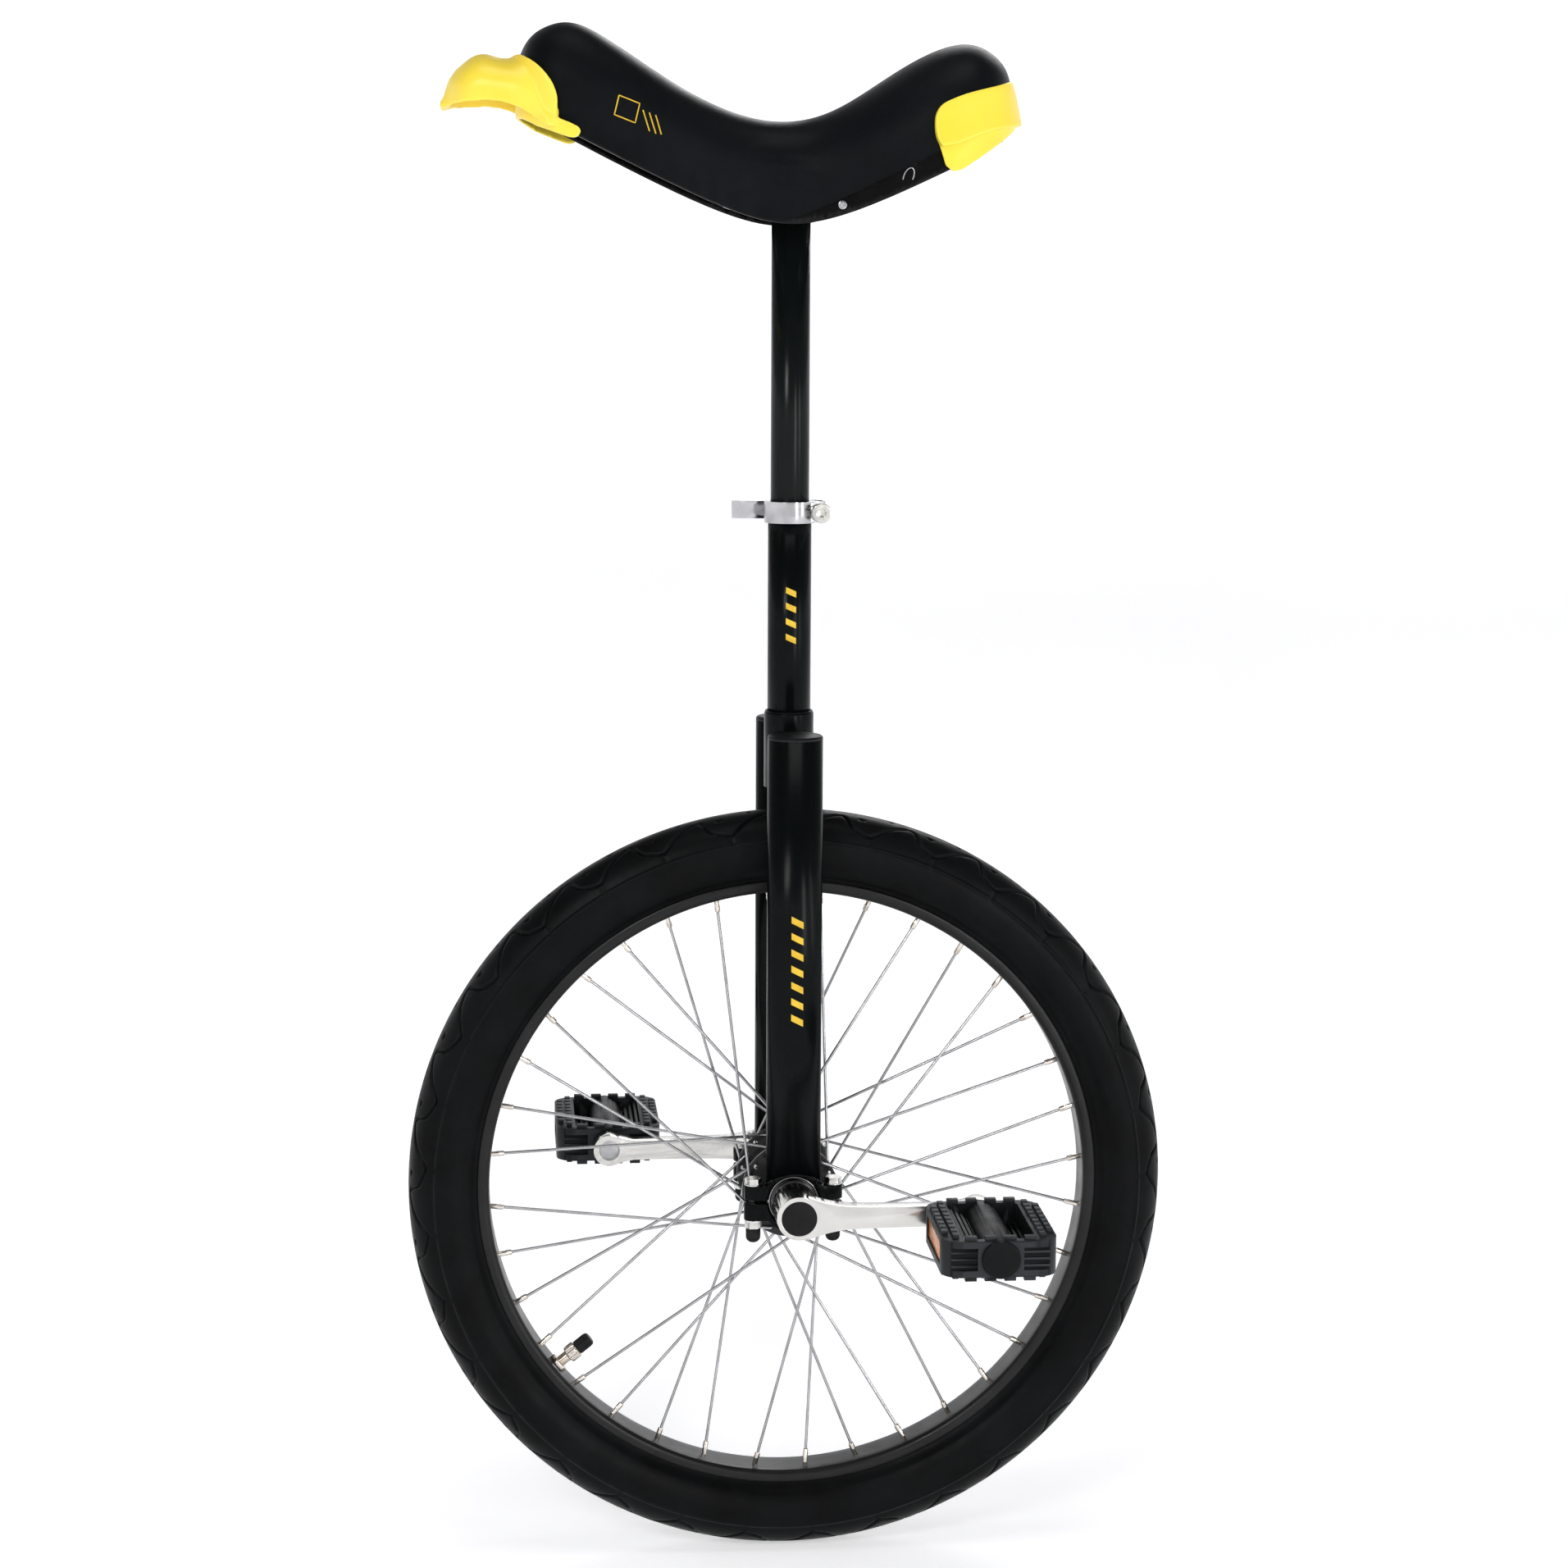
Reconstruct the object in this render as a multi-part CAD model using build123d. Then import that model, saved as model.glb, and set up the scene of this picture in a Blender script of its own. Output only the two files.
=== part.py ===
from build123d import *
import os
from math import atan2, cos, degrees, exp, pi, radians, sin, sqrt

# A 20 inch unicycle, built as the real one comes apart on a bench.
# Millimetres.  +X is forwards, +Y is the rider's left, +Z is up, and the origin
# is where the tyre meets the ground, straight under the axle.
os.makedirs("parts", exist_ok=True)

# ---- driving dimensions: wheel -------------------------------------------------
TYRE_R = 254.5            # outside of the tread, a 50-406 tyre
TYRE_SECTION_R = 24.9     # the tyre's own round section
TREAD_T = 3.8
RIDGE_UP = 6.5            # the shoulder ridge, above the section's middle
BEAD_R = 203.0            # bead seat of a 406 mm rim
RIM_IN_R = 200.5          # the face that the nipples stand on
RIM_OUT_R = 208.4
RIM_HALF = 15.4
SPOKES = 36
SPOKE_R = 1.0
FIRST_NIPPLE = 183.9      # degrees, from the rear upwards
CROSS_ANGLE = 60.0        # three crossings on 36 holes
VALVE_ANGLE = -141.1
FLANGE_Y = 24.0
FLANGE_R = 32.0
FLANGE_T = 3.0
SPOKE_CIRCLE_R = 28.2
ELBOW_LIFT = 1.2          # outer elbows stand off so that their wires clear the flange
AXLE_R = 8.5              # 17 mm seat for the bearings
AX = TYRE_R               # height of the axle

# ---- driving dimensions: frame -------------------------------------------------
LEG_Y = 48.5
LEG_R = 18.0
LEG_WALL = 2.0
LEG_TOP = AX + 308.0
NECK_R = 14.3             # 28.6 mm tube
POST_R = 12.7             # 25.4 mm tube
FIT = 0.05                # radial clearance of a running fit
SLEEVE_R = 16.4
SLEEVE_Z = (AX + 270.0, AX + 320.0)
CLAMP_Z = (AX + 445.0, AX + 459.0)
BAND_R = 16.9
BOLT_X = -19.6            # the clamp's bolt passes behind the neck
BEARING_R = 17.5          # 17 x 35 x 10 bearing
BEARING_T = 10.0
HOLDER_R = 21.0
HOLDER_T = 14.0
EAR_X = 26.5

# ---- driving dimensions: cranks and pedals -------------------------------------
CRANK = 117.0
SQUARE_END = 87.0         # where the axle's square stops
BOSS_Y = (61.0, 95.0)
ARM_Y = (84.0, 95.0)
PEDAL_Y = (100.6, 192.6)
PEDAL_HALF_X = 36.5
PEDAL_HALF_Z = 11.6
BARREL_R = 12.4

# ---- driving dimensions: saddle, heights above the axle ------------------------
POST_Z = (AX + 338.0, AX + 650.4)
BELLY_Z = AX + 637.5      # lowest line of the saddle's underside
BELLY_X = 2.0
BELLY_SLOPE = 0.53
BELLY_ROUND = 22.0
ROOF = 20.0               # depth of the hollow plastic base
COVER_T = 1.5

LEFT, RIGHT = 1, -1


# ---- small helpers --------------------------------------------------------------
def rod(start, end, radius):
    """A round bar between two points."""
    run = Vector(*end) - Vector(*start)
    place = Plane(origin=tuple(start), z_dir=run)
    return place * Cylinder(radius, run.length, align=(Align.CENTER, Align.CENTER, Align.MIN))


def facing_y(x, y, z):
    """A plane that faces +Y: its x runs along +X and its y along -Z."""
    return Plane(origin=(x, y, z), x_dir=(1, 0, 0), z_dir=(0, 1, 0))


def bar_y(radius, y0, y1, x=0.0, z=0.0):
    """A round bar along Y."""
    return rod((x, y0, z), (x, y1, z), radius)


def ring_y(outer, inner, y0, y1, x=0.0, z=0.0):
    """A flat ring or bush along Y."""
    return bar_y(outer, y0, y1, x, z) - bar_y(inner, y0 - 1, y1 + 1, x, z)


def bar_z(radius, z0, z1, x=0.0, y=0.0):
    """A round bar along Z."""
    return rod((x, y, z0), (x, y, z1), radius)


def hex_z(across, z0, z1, x=0.0, y=0.0):
    """A hexagon bar along Z, across flats."""
    face = Pos(x, y, z0) * RegularPolygon(across / 2, 6, major_radius=False)
    return extrude(face, amount=z1 - z0)


def block(x0, x1, y0, y1, z0, z1):
    """A box from its low and high corners."""
    return Pos((x0 + x1) / 2, (y0 + y1) / 2, (z0 + z1) / 2) * Box(x1 - x0, y1 - y0, z1 - z0)


def turned(wires):
    """A body turned about the wheel's axle, from wires in the YZ plane."""
    return revolve(make_face(wires), axis=Axis((0, 0, AX), (0, 1, 0)))


def at_radius(y, r):
    """A point of a wheel section: y across the wheel, r from the axle."""
    return (0, y, AX + r)


def clock(angle, r):
    """X and Z of a point at an angle counted from the rear upwards."""
    a = radians(angle)
    return -r * cos(a), AX + r * sin(a)


def half_turn(shape):
    """The same shape on the other side, turned half a turn about the vertical."""
    return Rot(0, 0, 180) * shape


def other_side(shape):
    """The mirror image across the unicycle's middle plane."""
    return mirror(shape, about=Plane.XZ)


def both(shape):
    return Compound(children=[shape, other_side(shape)])


def group(shapes):
    return Compound(children=list(shapes))


def save(shape, name):
    export_step(shape, f"parts/{name}.step")


# ---- tyre, tube and rim ---------------------------------------------------------
def tyre():
    """Tread and sidewalls in one round section, shoulder ridges, and two beads."""
    centre = TYRE_R - TYRE_SECTION_R
    wall = Plane.YZ * Pos(0, AX + centre) * (Circle(TYRE_SECTION_R) - Circle(TYRE_SECTION_R - TREAD_T))
    opening = Plane.YZ * Pos(0, AX + BEAD_R) * Rectangle(60, 11.8)
    section = wall - opening
    bead = [
        (9.6, 203.3), (12.9, 203.3), (13.5, 204.0), (13.5, 208.6),
        (16.5, 211.5), (16.9, 214.5), (13.6, 213.2), (9.8, 208.4),
    ]
    for side in (LEFT, RIGHT):
        corners = [at_radius(side * y, r) for y, r in bead[::side]]
        section += make_face(Polyline(*corners, close=True))
        ridge_y = side * sqrt(TYRE_SECTION_R**2 - RIDGE_UP**2)
        section += Plane.YZ * Pos(ridge_y, AX + centre + RIDGE_UP) * Circle(0.9)
    return revolve(section, axis=Axis((0, 0, AX), (0, 1, 0)))


def inner_tube():
    """The inflated tube, a hollow ring of thin rubber."""
    centre = TYRE_R - TYRE_SECTION_R
    section = Plane.YZ * Pos(0, AX + centre) * (Circle(20.4) - Circle(19.2))
    return revolve(section, axis=Axis((0, 0, AX), (0, 1, 0)))


def rim():
    """Single-wall alloy rim, drilled for the nipples and the valve."""
    half = [
        (0, RIM_IN_R), (11.6, RIM_IN_R), (14.2, RIM_IN_R + 1.1), (RIM_HALF, RIM_IN_R + 3.7),
        (RIM_HALF, RIM_OUT_R - 0.7), (RIM_HALF - 0.7, RIM_OUT_R), (RIM_HALF - 1.2, RIM_OUT_R - 0.4),
        (RIM_HALF - 1.5, RIM_OUT_R - 1.4), (RIM_HALF - 1.5, BEAD_R + 0.8), (13.2, BEAD_R + 0.1),
        (8.6, BEAD_R + 0.1), (7.4, RIM_IN_R + 1.5), (0, RIM_IN_R + 1.5),
    ]
    right = [at_radius(y, r) for y, r in half]
    left = [at_radius(-y, r) for y, r in reversed(half[1:-1])]
    body = turned(Polyline(*right, *left, close=True))
    drills = []
    for k in range(SPOKES):
        angle = FIRST_NIPPLE - 360 / SPOKES * k
        (x0, z0), (x1, z1) = clock(angle, RIM_IN_R - 2), clock(angle, BEAD_R + 1)
        y = nipple_y(k)
        drills.append(rod((x0, y, z0), (x1, y, z1), 2.7))
    (x0, z0), (x1, z1) = clock(VALVE_ANGLE, RIM_IN_R - 2), clock(VALVE_ANGLE, BEAD_R + 1)
    drills.append(rod((x0, 0, z0), (x1, 0, z1), 4.2))
    return body - drills


def rim_tape():
    """The band that keeps the tube off the nipple heads, pierced for the valve."""
    low, high, half = BEAD_R + 1.0, BEAD_R + 1.6, 8.8
    corners = [(-half, low), (half, low), (half, high), (-half, high)]
    band = turned(Polyline(*[at_radius(y, r) for y, r in corners], close=True))
    (x0, z0), (x1, z1) = clock(VALVE_ANGLE, BEAD_R - 2), clock(VALVE_ANGLE, BEAD_R + 4)
    return band - rod((x0, 0, z0), (x1, 0, z1), 4.1)


# ---- spokes ---------------------------------------------------------------------
def nipple_y(k):
    """Nipples lean to the flange that they pull on: even ones left, odd ones right."""
    return 1.5 if k % 2 == 0 else -1.5


def spoke_ends(k):
    """Elbow and rim end of spoke k, and which way its elbow faces."""
    side = LEFT if k % 2 == 0 else RIGHT
    angle = FIRST_NIPPLE - 360 / SPOKES * k
    leading = k % 4 in (0, 3)
    hub_angle = angle + (CROSS_ANGLE if leading else -CROSS_ANGLE)
    outward = 1 if leading else -1
    x, z = clock(hub_angle, SPOKE_CIRCLE_R)
    lift = ELBOW_LIFT if leading else 0.0
    y = side * (FLANGE_Y + outward * (FLANGE_T / 2 + SPOKE_R + lift))
    rx, rz = clock(angle, RIM_IN_R + 0.5)
    return Vector(x, y, z), Vector(rx, nipple_y(k), rz), side * outward


def spoke(k):
    """One spoke: straight wire, elbow through the flange, and its flat head."""
    elbow, rim_end, facing = spoke_ends(k)
    far_face = (LEFT if k % 2 == 0 else RIGHT) * FLANGE_Y - facing * FLANGE_T / 2
    through = Vector(elbow.X, far_face, elbow.Z)
    head = through - Vector(0, facing * 0.9, 0)
    wire = rod(elbow, rim_end, SPOKE_R) + Pos(*elbow) * Sphere(SPOKE_R)
    return wire + rod(elbow, through, SPOKE_R) + rod(through, head, 1.7)


def nipple(k):
    """Brass-coloured nipple, screwed on the spoke's end and seated in the rim."""
    elbow, rim_end, _ = spoke_ends(k)
    along = (rim_end - elbow).normalized()

    def on_axis(s):
        return rim_end + along * s

    body = rod(on_axis(-9.6), on_axis(1.62), 1.9) + rod(on_axis(-1.2), on_axis(1.62), 2.15)
    body += rod(on_axis(1.62), on_axis(2.36), 2.95)
    return body - rod(on_axis(-12), on_axis(0), SPOKE_R)


# ---- valve ----------------------------------------------------------------------
def valve_bar(radius, r0, r1):
    """A round bar on the valve's own line, from r0 out to r1."""
    (x0, z0), (x1, z1) = clock(VALVE_ANGLE, r0), clock(VALVE_ANGLE, r1)
    return rod((x0, 0, z0), (x1, 0, z1), radius)


def valve_stem():
    """Stem with the foot that is moulded into the tube, and its air passage."""
    return valve_bar(4.0, 176.0, 208.6) + valve_bar(7.5, 207.4, 208.8) - valve_bar(1.4, 170.0, 204.0)


def valve_rim_nut():
    """Hexagon nut that holds the stem against the rim."""
    (x, z), (xo, zo) = clock(VALVE_ANGLE, 197.3), clock(VALVE_ANGLE, 200.4)
    run = Vector(xo - x, 0, zo - z)
    face = Plane(origin=(x, 0, z), z_dir=run) * RegularPolygon(6.0, 6, major_radius=False)
    return extrude(face, amount=run.length) - valve_bar(4.0, 190, 205)


def valve_union_nut():
    """Fatter knurled nut that holds the valve's insert."""
    return valve_bar(5.9, 183.0, 190.5) - valve_bar(4.0, 180, 195)


def valve_cap():
    """Black plastic cap, screwed over the stem's end."""
    return valve_bar(4.9, 171.4, 182.6) - valve_bar(4.0 + FIT, 175.6, 185)


# ---- hub, axle and bearings -----------------------------------------------------
def hub_shell():
    """Barrel and two flanges, drilled for the spokes."""
    body = bar_y(14.0, -FLANGE_Y, FLANGE_Y, z=AX)
    for side in (LEFT, RIGHT):
        low, high = sorted((side * (FLANGE_Y - FLANGE_T / 2), side * (FLANGE_Y + FLANGE_T / 2)))
        body += bar_y(FLANGE_R, low, high, z=AX)
        low, high = sorted((side * (FLANGE_Y - 7), side * FLANGE_Y))
        body += bar_y(18.0, low, high, z=AX)
    holes = []
    for k in range(SPOKES):
        elbow, _, facing = spoke_ends(k)
        holes.append(bar_y(1.25, elbow.Y - 6, elbow.Y + 6, elbow.X, elbow.Z))
    return body - holes - bar_y(AXLE_R, -40, 40, z=AX)


def square_end(y_from, y_to, flat_from, flat_to):
    """The axle's tapered square end."""
    near = facing_y(0, y_from, AX) * Rectangle(flat_from, flat_from)
    far = facing_y(0, y_to, AX) * Rectangle(flat_to, flat_to)
    return loft([near, far])


def axle():
    """One axle for the whole wheel: bearing seats, tapered squares, threaded ends."""
    body = bar_y(AXLE_R, -56.5, 56.5, z=AX)
    taper = square_end(56.0, SQUARE_END, 13.4, 12.2) & bar_y(7.9, 50, 99, z=AX)
    body += taper + other_side(taper)
    return body - bar_y(4.0, 66, 99, z=AX) - bar_y(4.0, -99, -66, z=AX)


def hub_spacer():
    return ring_y(11.0, AXLE_R, FLANGE_Y + FLANGE_T / 2 + 0.1, LEG_Y - BEARING_T / 2, z=AX)


BALL_PITCH_R = 13.0
BALL_R = 2.4
BALLS = 10


def race_groove(clearance):
    ring = Plane.YZ * Pos(LEG_Y, AX + BALL_PITCH_R) * Circle(BALL_R + clearance)
    return revolve(ring, axis=Axis((0, 0, AX), (0, 1, 0)))


def bearing_outer():
    low, high = LEG_Y - BEARING_T / 2, LEG_Y + BEARING_T / 2
    return ring_y(BEARING_R, 14.6, low, high, z=AX) - race_groove(FIT)


def bearing_inner():
    low, high = LEG_Y - BEARING_T / 2, LEG_Y + BEARING_T / 2
    return ring_y(11.4, AXLE_R, low, high, z=AX) - race_groove(0)


def bearing_balls():
    balls = []
    for k in range(BALLS):
        x, z = clock(360 / BALLS * k, BALL_PITCH_R)
        balls += [Pos(x, s * LEG_Y, z) * Sphere(BALL_R) for s in (LEFT, RIGHT)]
    return group(balls)


def bearing_seals():
    seals = []
    for y in (LEG_Y - BEARING_T / 2 + 0.3, LEG_Y + BEARING_T / 2 - 1.0):
        seal = ring_y(14.6, 11.8, y, y + 0.7, z=AX)
        seals += [seal, other_side(seal)]
    return group(seals)


# ---- cranks ---------------------------------------------------------------------
def crank():
    """Left crank, pointing to the rear: boss, waisted arm, pedal eye."""
    y0, y1 = ARM_Y
    arm = facing_y(0, y0, AX)
    side = [(-6, 14.2), (-17, 10.4), (-30, 7.9), (-46, 7.1), (-75, 6.8), (-CRANK + 17, 6.9)]
    low = Spline(*side)
    high = Spline(*[(x, -y) for x, y in reversed(side)])
    eye = Polyline(low @ 1, (-CRANK + 9, 8.6), (-CRANK, 11), (-CRANK, -11), (-CRANK + 9, -8.6), high @ 0)
    body = extrude(arm * make_face([low, eye, high, Line(high @ 1, low @ 0)]), amount=y1 - y0)
    body += bar_y(11.0, y0 - 1.0, y1, x=-CRANK, z=AX)
    boss_in, boss_out = BOSS_Y
    near = facing_y(0, boss_in, AX) * Circle(15.6)
    far = facing_y(0, boss_out, AX) * Circle(14.4)
    body += loft([near, far])
    body -= square_end(56.0, SQUARE_END, 13.4, 12.2) & bar_y(7.9, 50, SQUARE_END, z=AX)
    body -= bar_y(8.0, 50, boss_in + 0.1, z=AX)
    body -= bar_y(11.6, SQUARE_END, 105, z=AX)
    return body - bar_y(7.1, 70, 105, x=-CRANK, z=AX)


def crank_bolt():
    """Bolt that pulls the crank on the square taper."""
    plane = facing_y(0, SQUARE_END + 1.4, AX)
    head = extrude(plane * RegularPolygon(7.0, 6, major_radius=False), amount=3.4)
    collar = bar_y(9.6, SQUARE_END, SQUARE_END + 1.4, z=AX)
    return head + collar + bar_y(4.0, SQUARE_END - 15, SQUARE_END + 1.4, z=AX)


def dust_cap():
    """Black cap in the crank's mouth, over the bolt's head."""
    return bar_y(11.6, SQUARE_END + 5.2, BOSS_Y[1] + 0.4, z=AX)


# ---- pedals ---------------------------------------------------------------------
PEDAL_BALL_R = 2.0
PEDAL_BALL_PITCH = 7.95
PEDAL_BALL_Y = (PEDAL_Y[0] + 6.0, PEDAL_Y[1] - 13.0)


def pedal_spindle():
    """Spindle screwed in the crank's eye: thread, collar, shaft, thin outer end."""
    x, z = -CRANK, AX
    body = bar_y(7.1, ARM_Y[0] + 1.0, ARM_Y[1], x, z)
    collar = facing_y(x, ARM_Y[1], z) * RegularPolygon(7.5, 6, major_radius=False)
    body += extrude(collar, amount=4.6)
    body += bar_y(5.9, ARM_Y[1], PEDAL_BALL_Y[0] + 8, x, z)
    return body + bar_y(4.4, ARM_Y[1], PEDAL_Y[1] - 2.4, x, z)


def pedal_cone():
    """Cone and lock nut on the spindle's outer end, which hold the balls in."""
    x, z = -CRANK, AX
    cone = ring_y(5.9, 4.4, PEDAL_BALL_Y[1] - 4, PEDAL_BALL_Y[1] + 4, x, z)
    nut = facing_y(x, PEDAL_BALL_Y[1] + 4, z) * RegularPolygon(6.5, 6, major_radius=False)
    return cone + (extrude(nut, amount=4.0) - bar_y(4.4, 100, 200, x, z))


def pedal_balls():
    """Two rings of balls in each pedal."""
    balls = []
    count = 11
    for y in PEDAL_BALL_Y:
        for k in range(count):
            a = radians(360 / count * k)
            spot = (-CRANK + PEDAL_BALL_PITCH * cos(a), y, AX + PEDAL_BALL_PITCH * sin(a))
            ball = Pos(*spot) * Sphere(PEDAL_BALL_R)
            balls += [ball, half_turn(ball)]
    return group(balls)


def rail_teeth(z0, z1):
    """Two rows of small square teeth along each rail, and low knobs on the end walls."""
    teeth = []
    rows, pitch = 9, 9.0
    y_mid = (PEDAL_Y[0] + PEDAL_Y[1]) / 2
    for side in (1, -1):
        for row_x in (27.4, 33.2):
            for k in range(rows):
                y = y_mid + (k - (rows - 1) / 2) * pitch
                if row_x > 30 and k in (0, rows - 1):
                    continue
                x = -CRANK + side * row_x
                teeth.append(block(x - 1.9, x + 1.9, y - 2.8, y + 2.8, z0, z1))
    for y in (PEDAL_Y[0] + 3.2, PEDAL_Y[1] - 3.2):
        for x in (-18.6, -6.2, 6.2, 18.6):
            teeth.append(block(-CRANK + x - 3.6, -CRANK + x + 3.6, y - 2.2, y + 2.2, z0, z1))
    return teeth


def deck_ribs(side):
    """Ribs along one half of the deck, each a step lower towards the barrel."""
    ribs = []
    for k in range(4):
        x = -CRANK + side * (21.0 - 3.4 * k)
        low, high = sorted((AX + side * 0.6, AX + side * (9.6 - 1.5 * k)))
        ribs.append(block(x - 0.9, x + 0.9, PEDAL_Y[0] + 3, PEDAL_Y[1] - 3, low, high))
    return ribs


def pedal_body():
    """Moulded plastic cage: two toothed rails, end walls, barrel and ribs."""
    x, z = -CRANK, AX
    y0, y1 = PEDAL_Y
    y_mid = (y0 + y1) / 2
    frame_plan = RectangleRounded(2 * PEDAL_HALF_X, y1 - y0, 13) - RectangleRounded(46, y1 - y0 - 12, 5)
    plan = Pos(x, y_mid) * frame_plan
    cage = extrude(Pos(0, 0, z - PEDAL_HALF_Z) * plan, amount=2 * PEDAL_HALF_Z)
    # both rails and both end walls are waisted between a top and a bottom flange
    waist = 7.2
    for side in (1, -1):
        cage -= block(*sorted((x + side * 32.5, x + side * 40)), y0 + 16, y1 - 16, z - waist, z + waist)
        low, high = sorted((x + side * 14.5, x + side * (PEDAL_HALF_X - 6)))
        for near, far in ((y0 - 1, y0 + 2.2), (y1 - 2.2, y1 + 1)):
            cage -= block(low, high, near, far, z - waist, z + waist)
        # three bars cross each recess
        for level in (-4.4, 0.0, 4.4):
            for near in (y0, y1 - 3.4):
                cage += block(low - 0.5, high + 0.5, near + 0.6, near + 2.8, z + level - 0.7, z + level + 0.7)
    cage += bar_y(BARREL_R, y0, y1, x, z)
    cage += deck_ribs(1) + deck_ribs(-1)
    teeth = rail_teeth(z + PEDAL_HALF_Z - 0.2, z + PEDAL_HALF_Z + 2.6)
    teeth += rail_teeth(z - PEDAL_HALF_Z - 2.6, z - PEDAL_HALF_Z + 0.2)
    cage = cage + teeth
    cage -= bar_y(7.2, y0 - 1, y1 + 1, x, z)
    cup_r = PEDAL_BALL_PITCH + PEDAL_BALL_R + FIT
    for low, high in ((y0 - 1, PEDAL_BALL_Y[0] + 2.4), (PEDAL_BALL_Y[1] - 2.4, y1 + 1)):
        cage -= bar_y(cup_r, low, high, x, z)
    return cage


def pedal_end_cap():
    """Round cap that closes the barrel at the pedal's outer end."""
    x, z = -CRANK, AX
    plug = bar_y(PEDAL_BALL_PITCH + PEDAL_BALL_R, PEDAL_Y[1] - 1.4, PEDAL_Y[1], x, z)
    disc = bar_y(BARREL_R - 0.2, PEDAL_Y[1], PEDAL_Y[1] + 2.4, x, z)
    return plug + fillet(disc.edges().group_by(Axis.Y)[-1], 1.2)


def pedal_reflectors():
    """One amber reflector in the window of each rail."""
    x, z = -CRANK, AX
    plates = []
    for side in (1, -1):
        low, high = sorted((x + side * 32.6, x + side * 35.4))
        plates.append(block(low, high, PEDAL_Y[0] + 16.3, PEDAL_Y[1] - 16.3, z - 6.9, z + 6.9))
    return group(plates)


# ---- frame ----------------------------------------------------------------------
def neck_tube():
    """Slotted tube that the seat post slides in."""
    z0, z1 = SLEEVE_Z[0], CLAMP_Z[1] - 1.6
    tube = bar_z(NECK_R, z0, z1) - bar_z(POST_R + FIT, z0 - 1, z1 + 1)
    slot = block(-20, -8, -1.2, 1.2, z1 - 32, z1 + 1)
    return tube - slot - rod((-20, 0, z1 - 32), (-8, 0, z1 - 32), 2.2)


def crown_sleeve():
    """Sleeve that joins the neck to the crown."""
    sleeve = bar_z(SLEEVE_R, *SLEEVE_Z)
    sleeve = fillet(sleeve.edges().group_by(Axis.Z)[-1], 1.4)
    return sleeve - bar_z(NECK_R, SLEEVE_Z[0] - 1, SLEEVE_Z[1] + 1)


def crown_bridge():
    """Box section from the sleeve to the left leg, coped to both."""
    z_mid, height, depth, wall = AX + 289.0, 36.0, 24.0, 2.5
    plane = facing_y(0, 0, z_mid)
    section = RectangleRounded(depth, height, 5) - RectangleRounded(depth - 2 * wall, height - 2 * wall, 3)
    box = extrude(plane * section, amount=LEG_Y)
    return box - bar_z(SLEEVE_R, AX + 200, AX + 400) - bar_z(LEG_R, AX + 200, AX + 400, y=LEG_Y)


def fork_leg():
    """Left leg, coped to sit on the bearing holder."""
    tube = bar_z(LEG_R, AX + 4, LEG_TOP, y=LEG_Y) - bar_z(LEG_R - LEG_WALL, AX, LEG_TOP + 1, y=LEG_Y)
    return tube - bar_y(HOLDER_R, 0, 100, z=AX)


def leg_plug():
    """Plastic plug that closes the leg's top."""
    stub = bar_z(LEG_R - LEG_WALL, LEG_TOP - 11, LEG_TOP, y=LEG_Y)
    head = bar_z(LEG_R, LEG_TOP, LEG_TOP + 2.6, y=LEG_Y)
    return stub + fillet(head.edges().group_by(Axis.Z)[-1], 1.8)


def holder_block(z_low, z_high):
    """Half of the bearing's housing: half ring and two ears between two heights."""
    half_y = HOLDER_T / 2
    body = bar_y(HOLDER_R, LEG_Y - half_y, LEG_Y + half_y, z=AX)
    ears = block(-EAR_X, EAR_X, LEG_Y - 6.2, LEG_Y + 6.2, z_low, z_high)
    for side in (1, -1):
        ears += bar_z(6.2, z_low, z_high, x=side * EAR_X, y=LEG_Y)
    return body, ears


def drill_holder(body):
    body -= bar_y(BEARING_R, 0, 100, z=AX)
    for side in (1, -1):
        body -= bar_z(3.1, AX - 60, AX + 60, x=side * EAR_X, y=LEG_Y)
    return body


def bearing_holder():
    """Upper half, welded under the leg."""
    body, ears = holder_block(AX + 1.2, AX + 10.8)
    body = body & block(-40, 40, 0, 100, AX + 1.2, AX + 60)
    return drill_holder(body + ears)


def bearing_cap():
    """Lower half, bolted up against the bearing."""
    body, ears = holder_block(AX - 12.8, AX - 1.2)
    body = body & block(-40, 40, 0, 100, AX - 60, AX - 1.2)
    return drill_holder(body + ears)


def at_ears(piece):
    """The same fastener in all four ears."""
    return group([Pos(sx * EAR_X, sy * LEG_Y, AX) * piece for sx in (1, -1) for sy in (1, -1)])


def holder_bolt():
    head = fillet(hex_z(10.0, 11.6, 15.4).edges().group_by(Axis.Z)[-1], 0.5)
    return head + bar_z(6.0, 10.8, 11.6) + bar_z(3.0, -22.5, 11.6)


def holder_nut():
    return hex_z(10.0, -18.4, -13.8) + bar_z(5.9, -13.8, -12.8) - bar_z(3.0, -20, -10)


def holder_nut_cap():
    """Black plastic cap over the bolt's end."""
    dome = bar_z(4.9, -28.4, -18.4)
    dome = fillet(dome.edges().group_by(Axis.Z)[0], 4.0)
    return dome - bar_z(3.0, -23.0, -18.0)


# ---- seat clamp -----------------------------------------------------------------
def seat_clamp_band():
    """Split band with a lip over the neck's end and two ears for the bolt."""
    z0, z1 = CLAMP_Z
    z_mid = (z0 + z1) / 2
    band = bar_z(BAND_R, z0, z1)
    for low, high in ((1.5, 11.0), (-11.0, -1.5)):
        band += bar_y(6.2, low, high, BOLT_X, z_mid)
        band += block(BOLT_X, -8, low, high, z_mid - 6.2, z_mid + 6.2)
    band -= bar_z(NECK_R, z0 - 1, z1 - 1.6) + bar_z(POST_R + 0.5, z0 - 1, z1 + 1)
    band -= block(-40, -9, -1.5, 1.5, z0 - 1, z1 + 1)
    return band - bar_y(2.5 + FIT, -20, 20, BOLT_X, z_mid)


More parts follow.
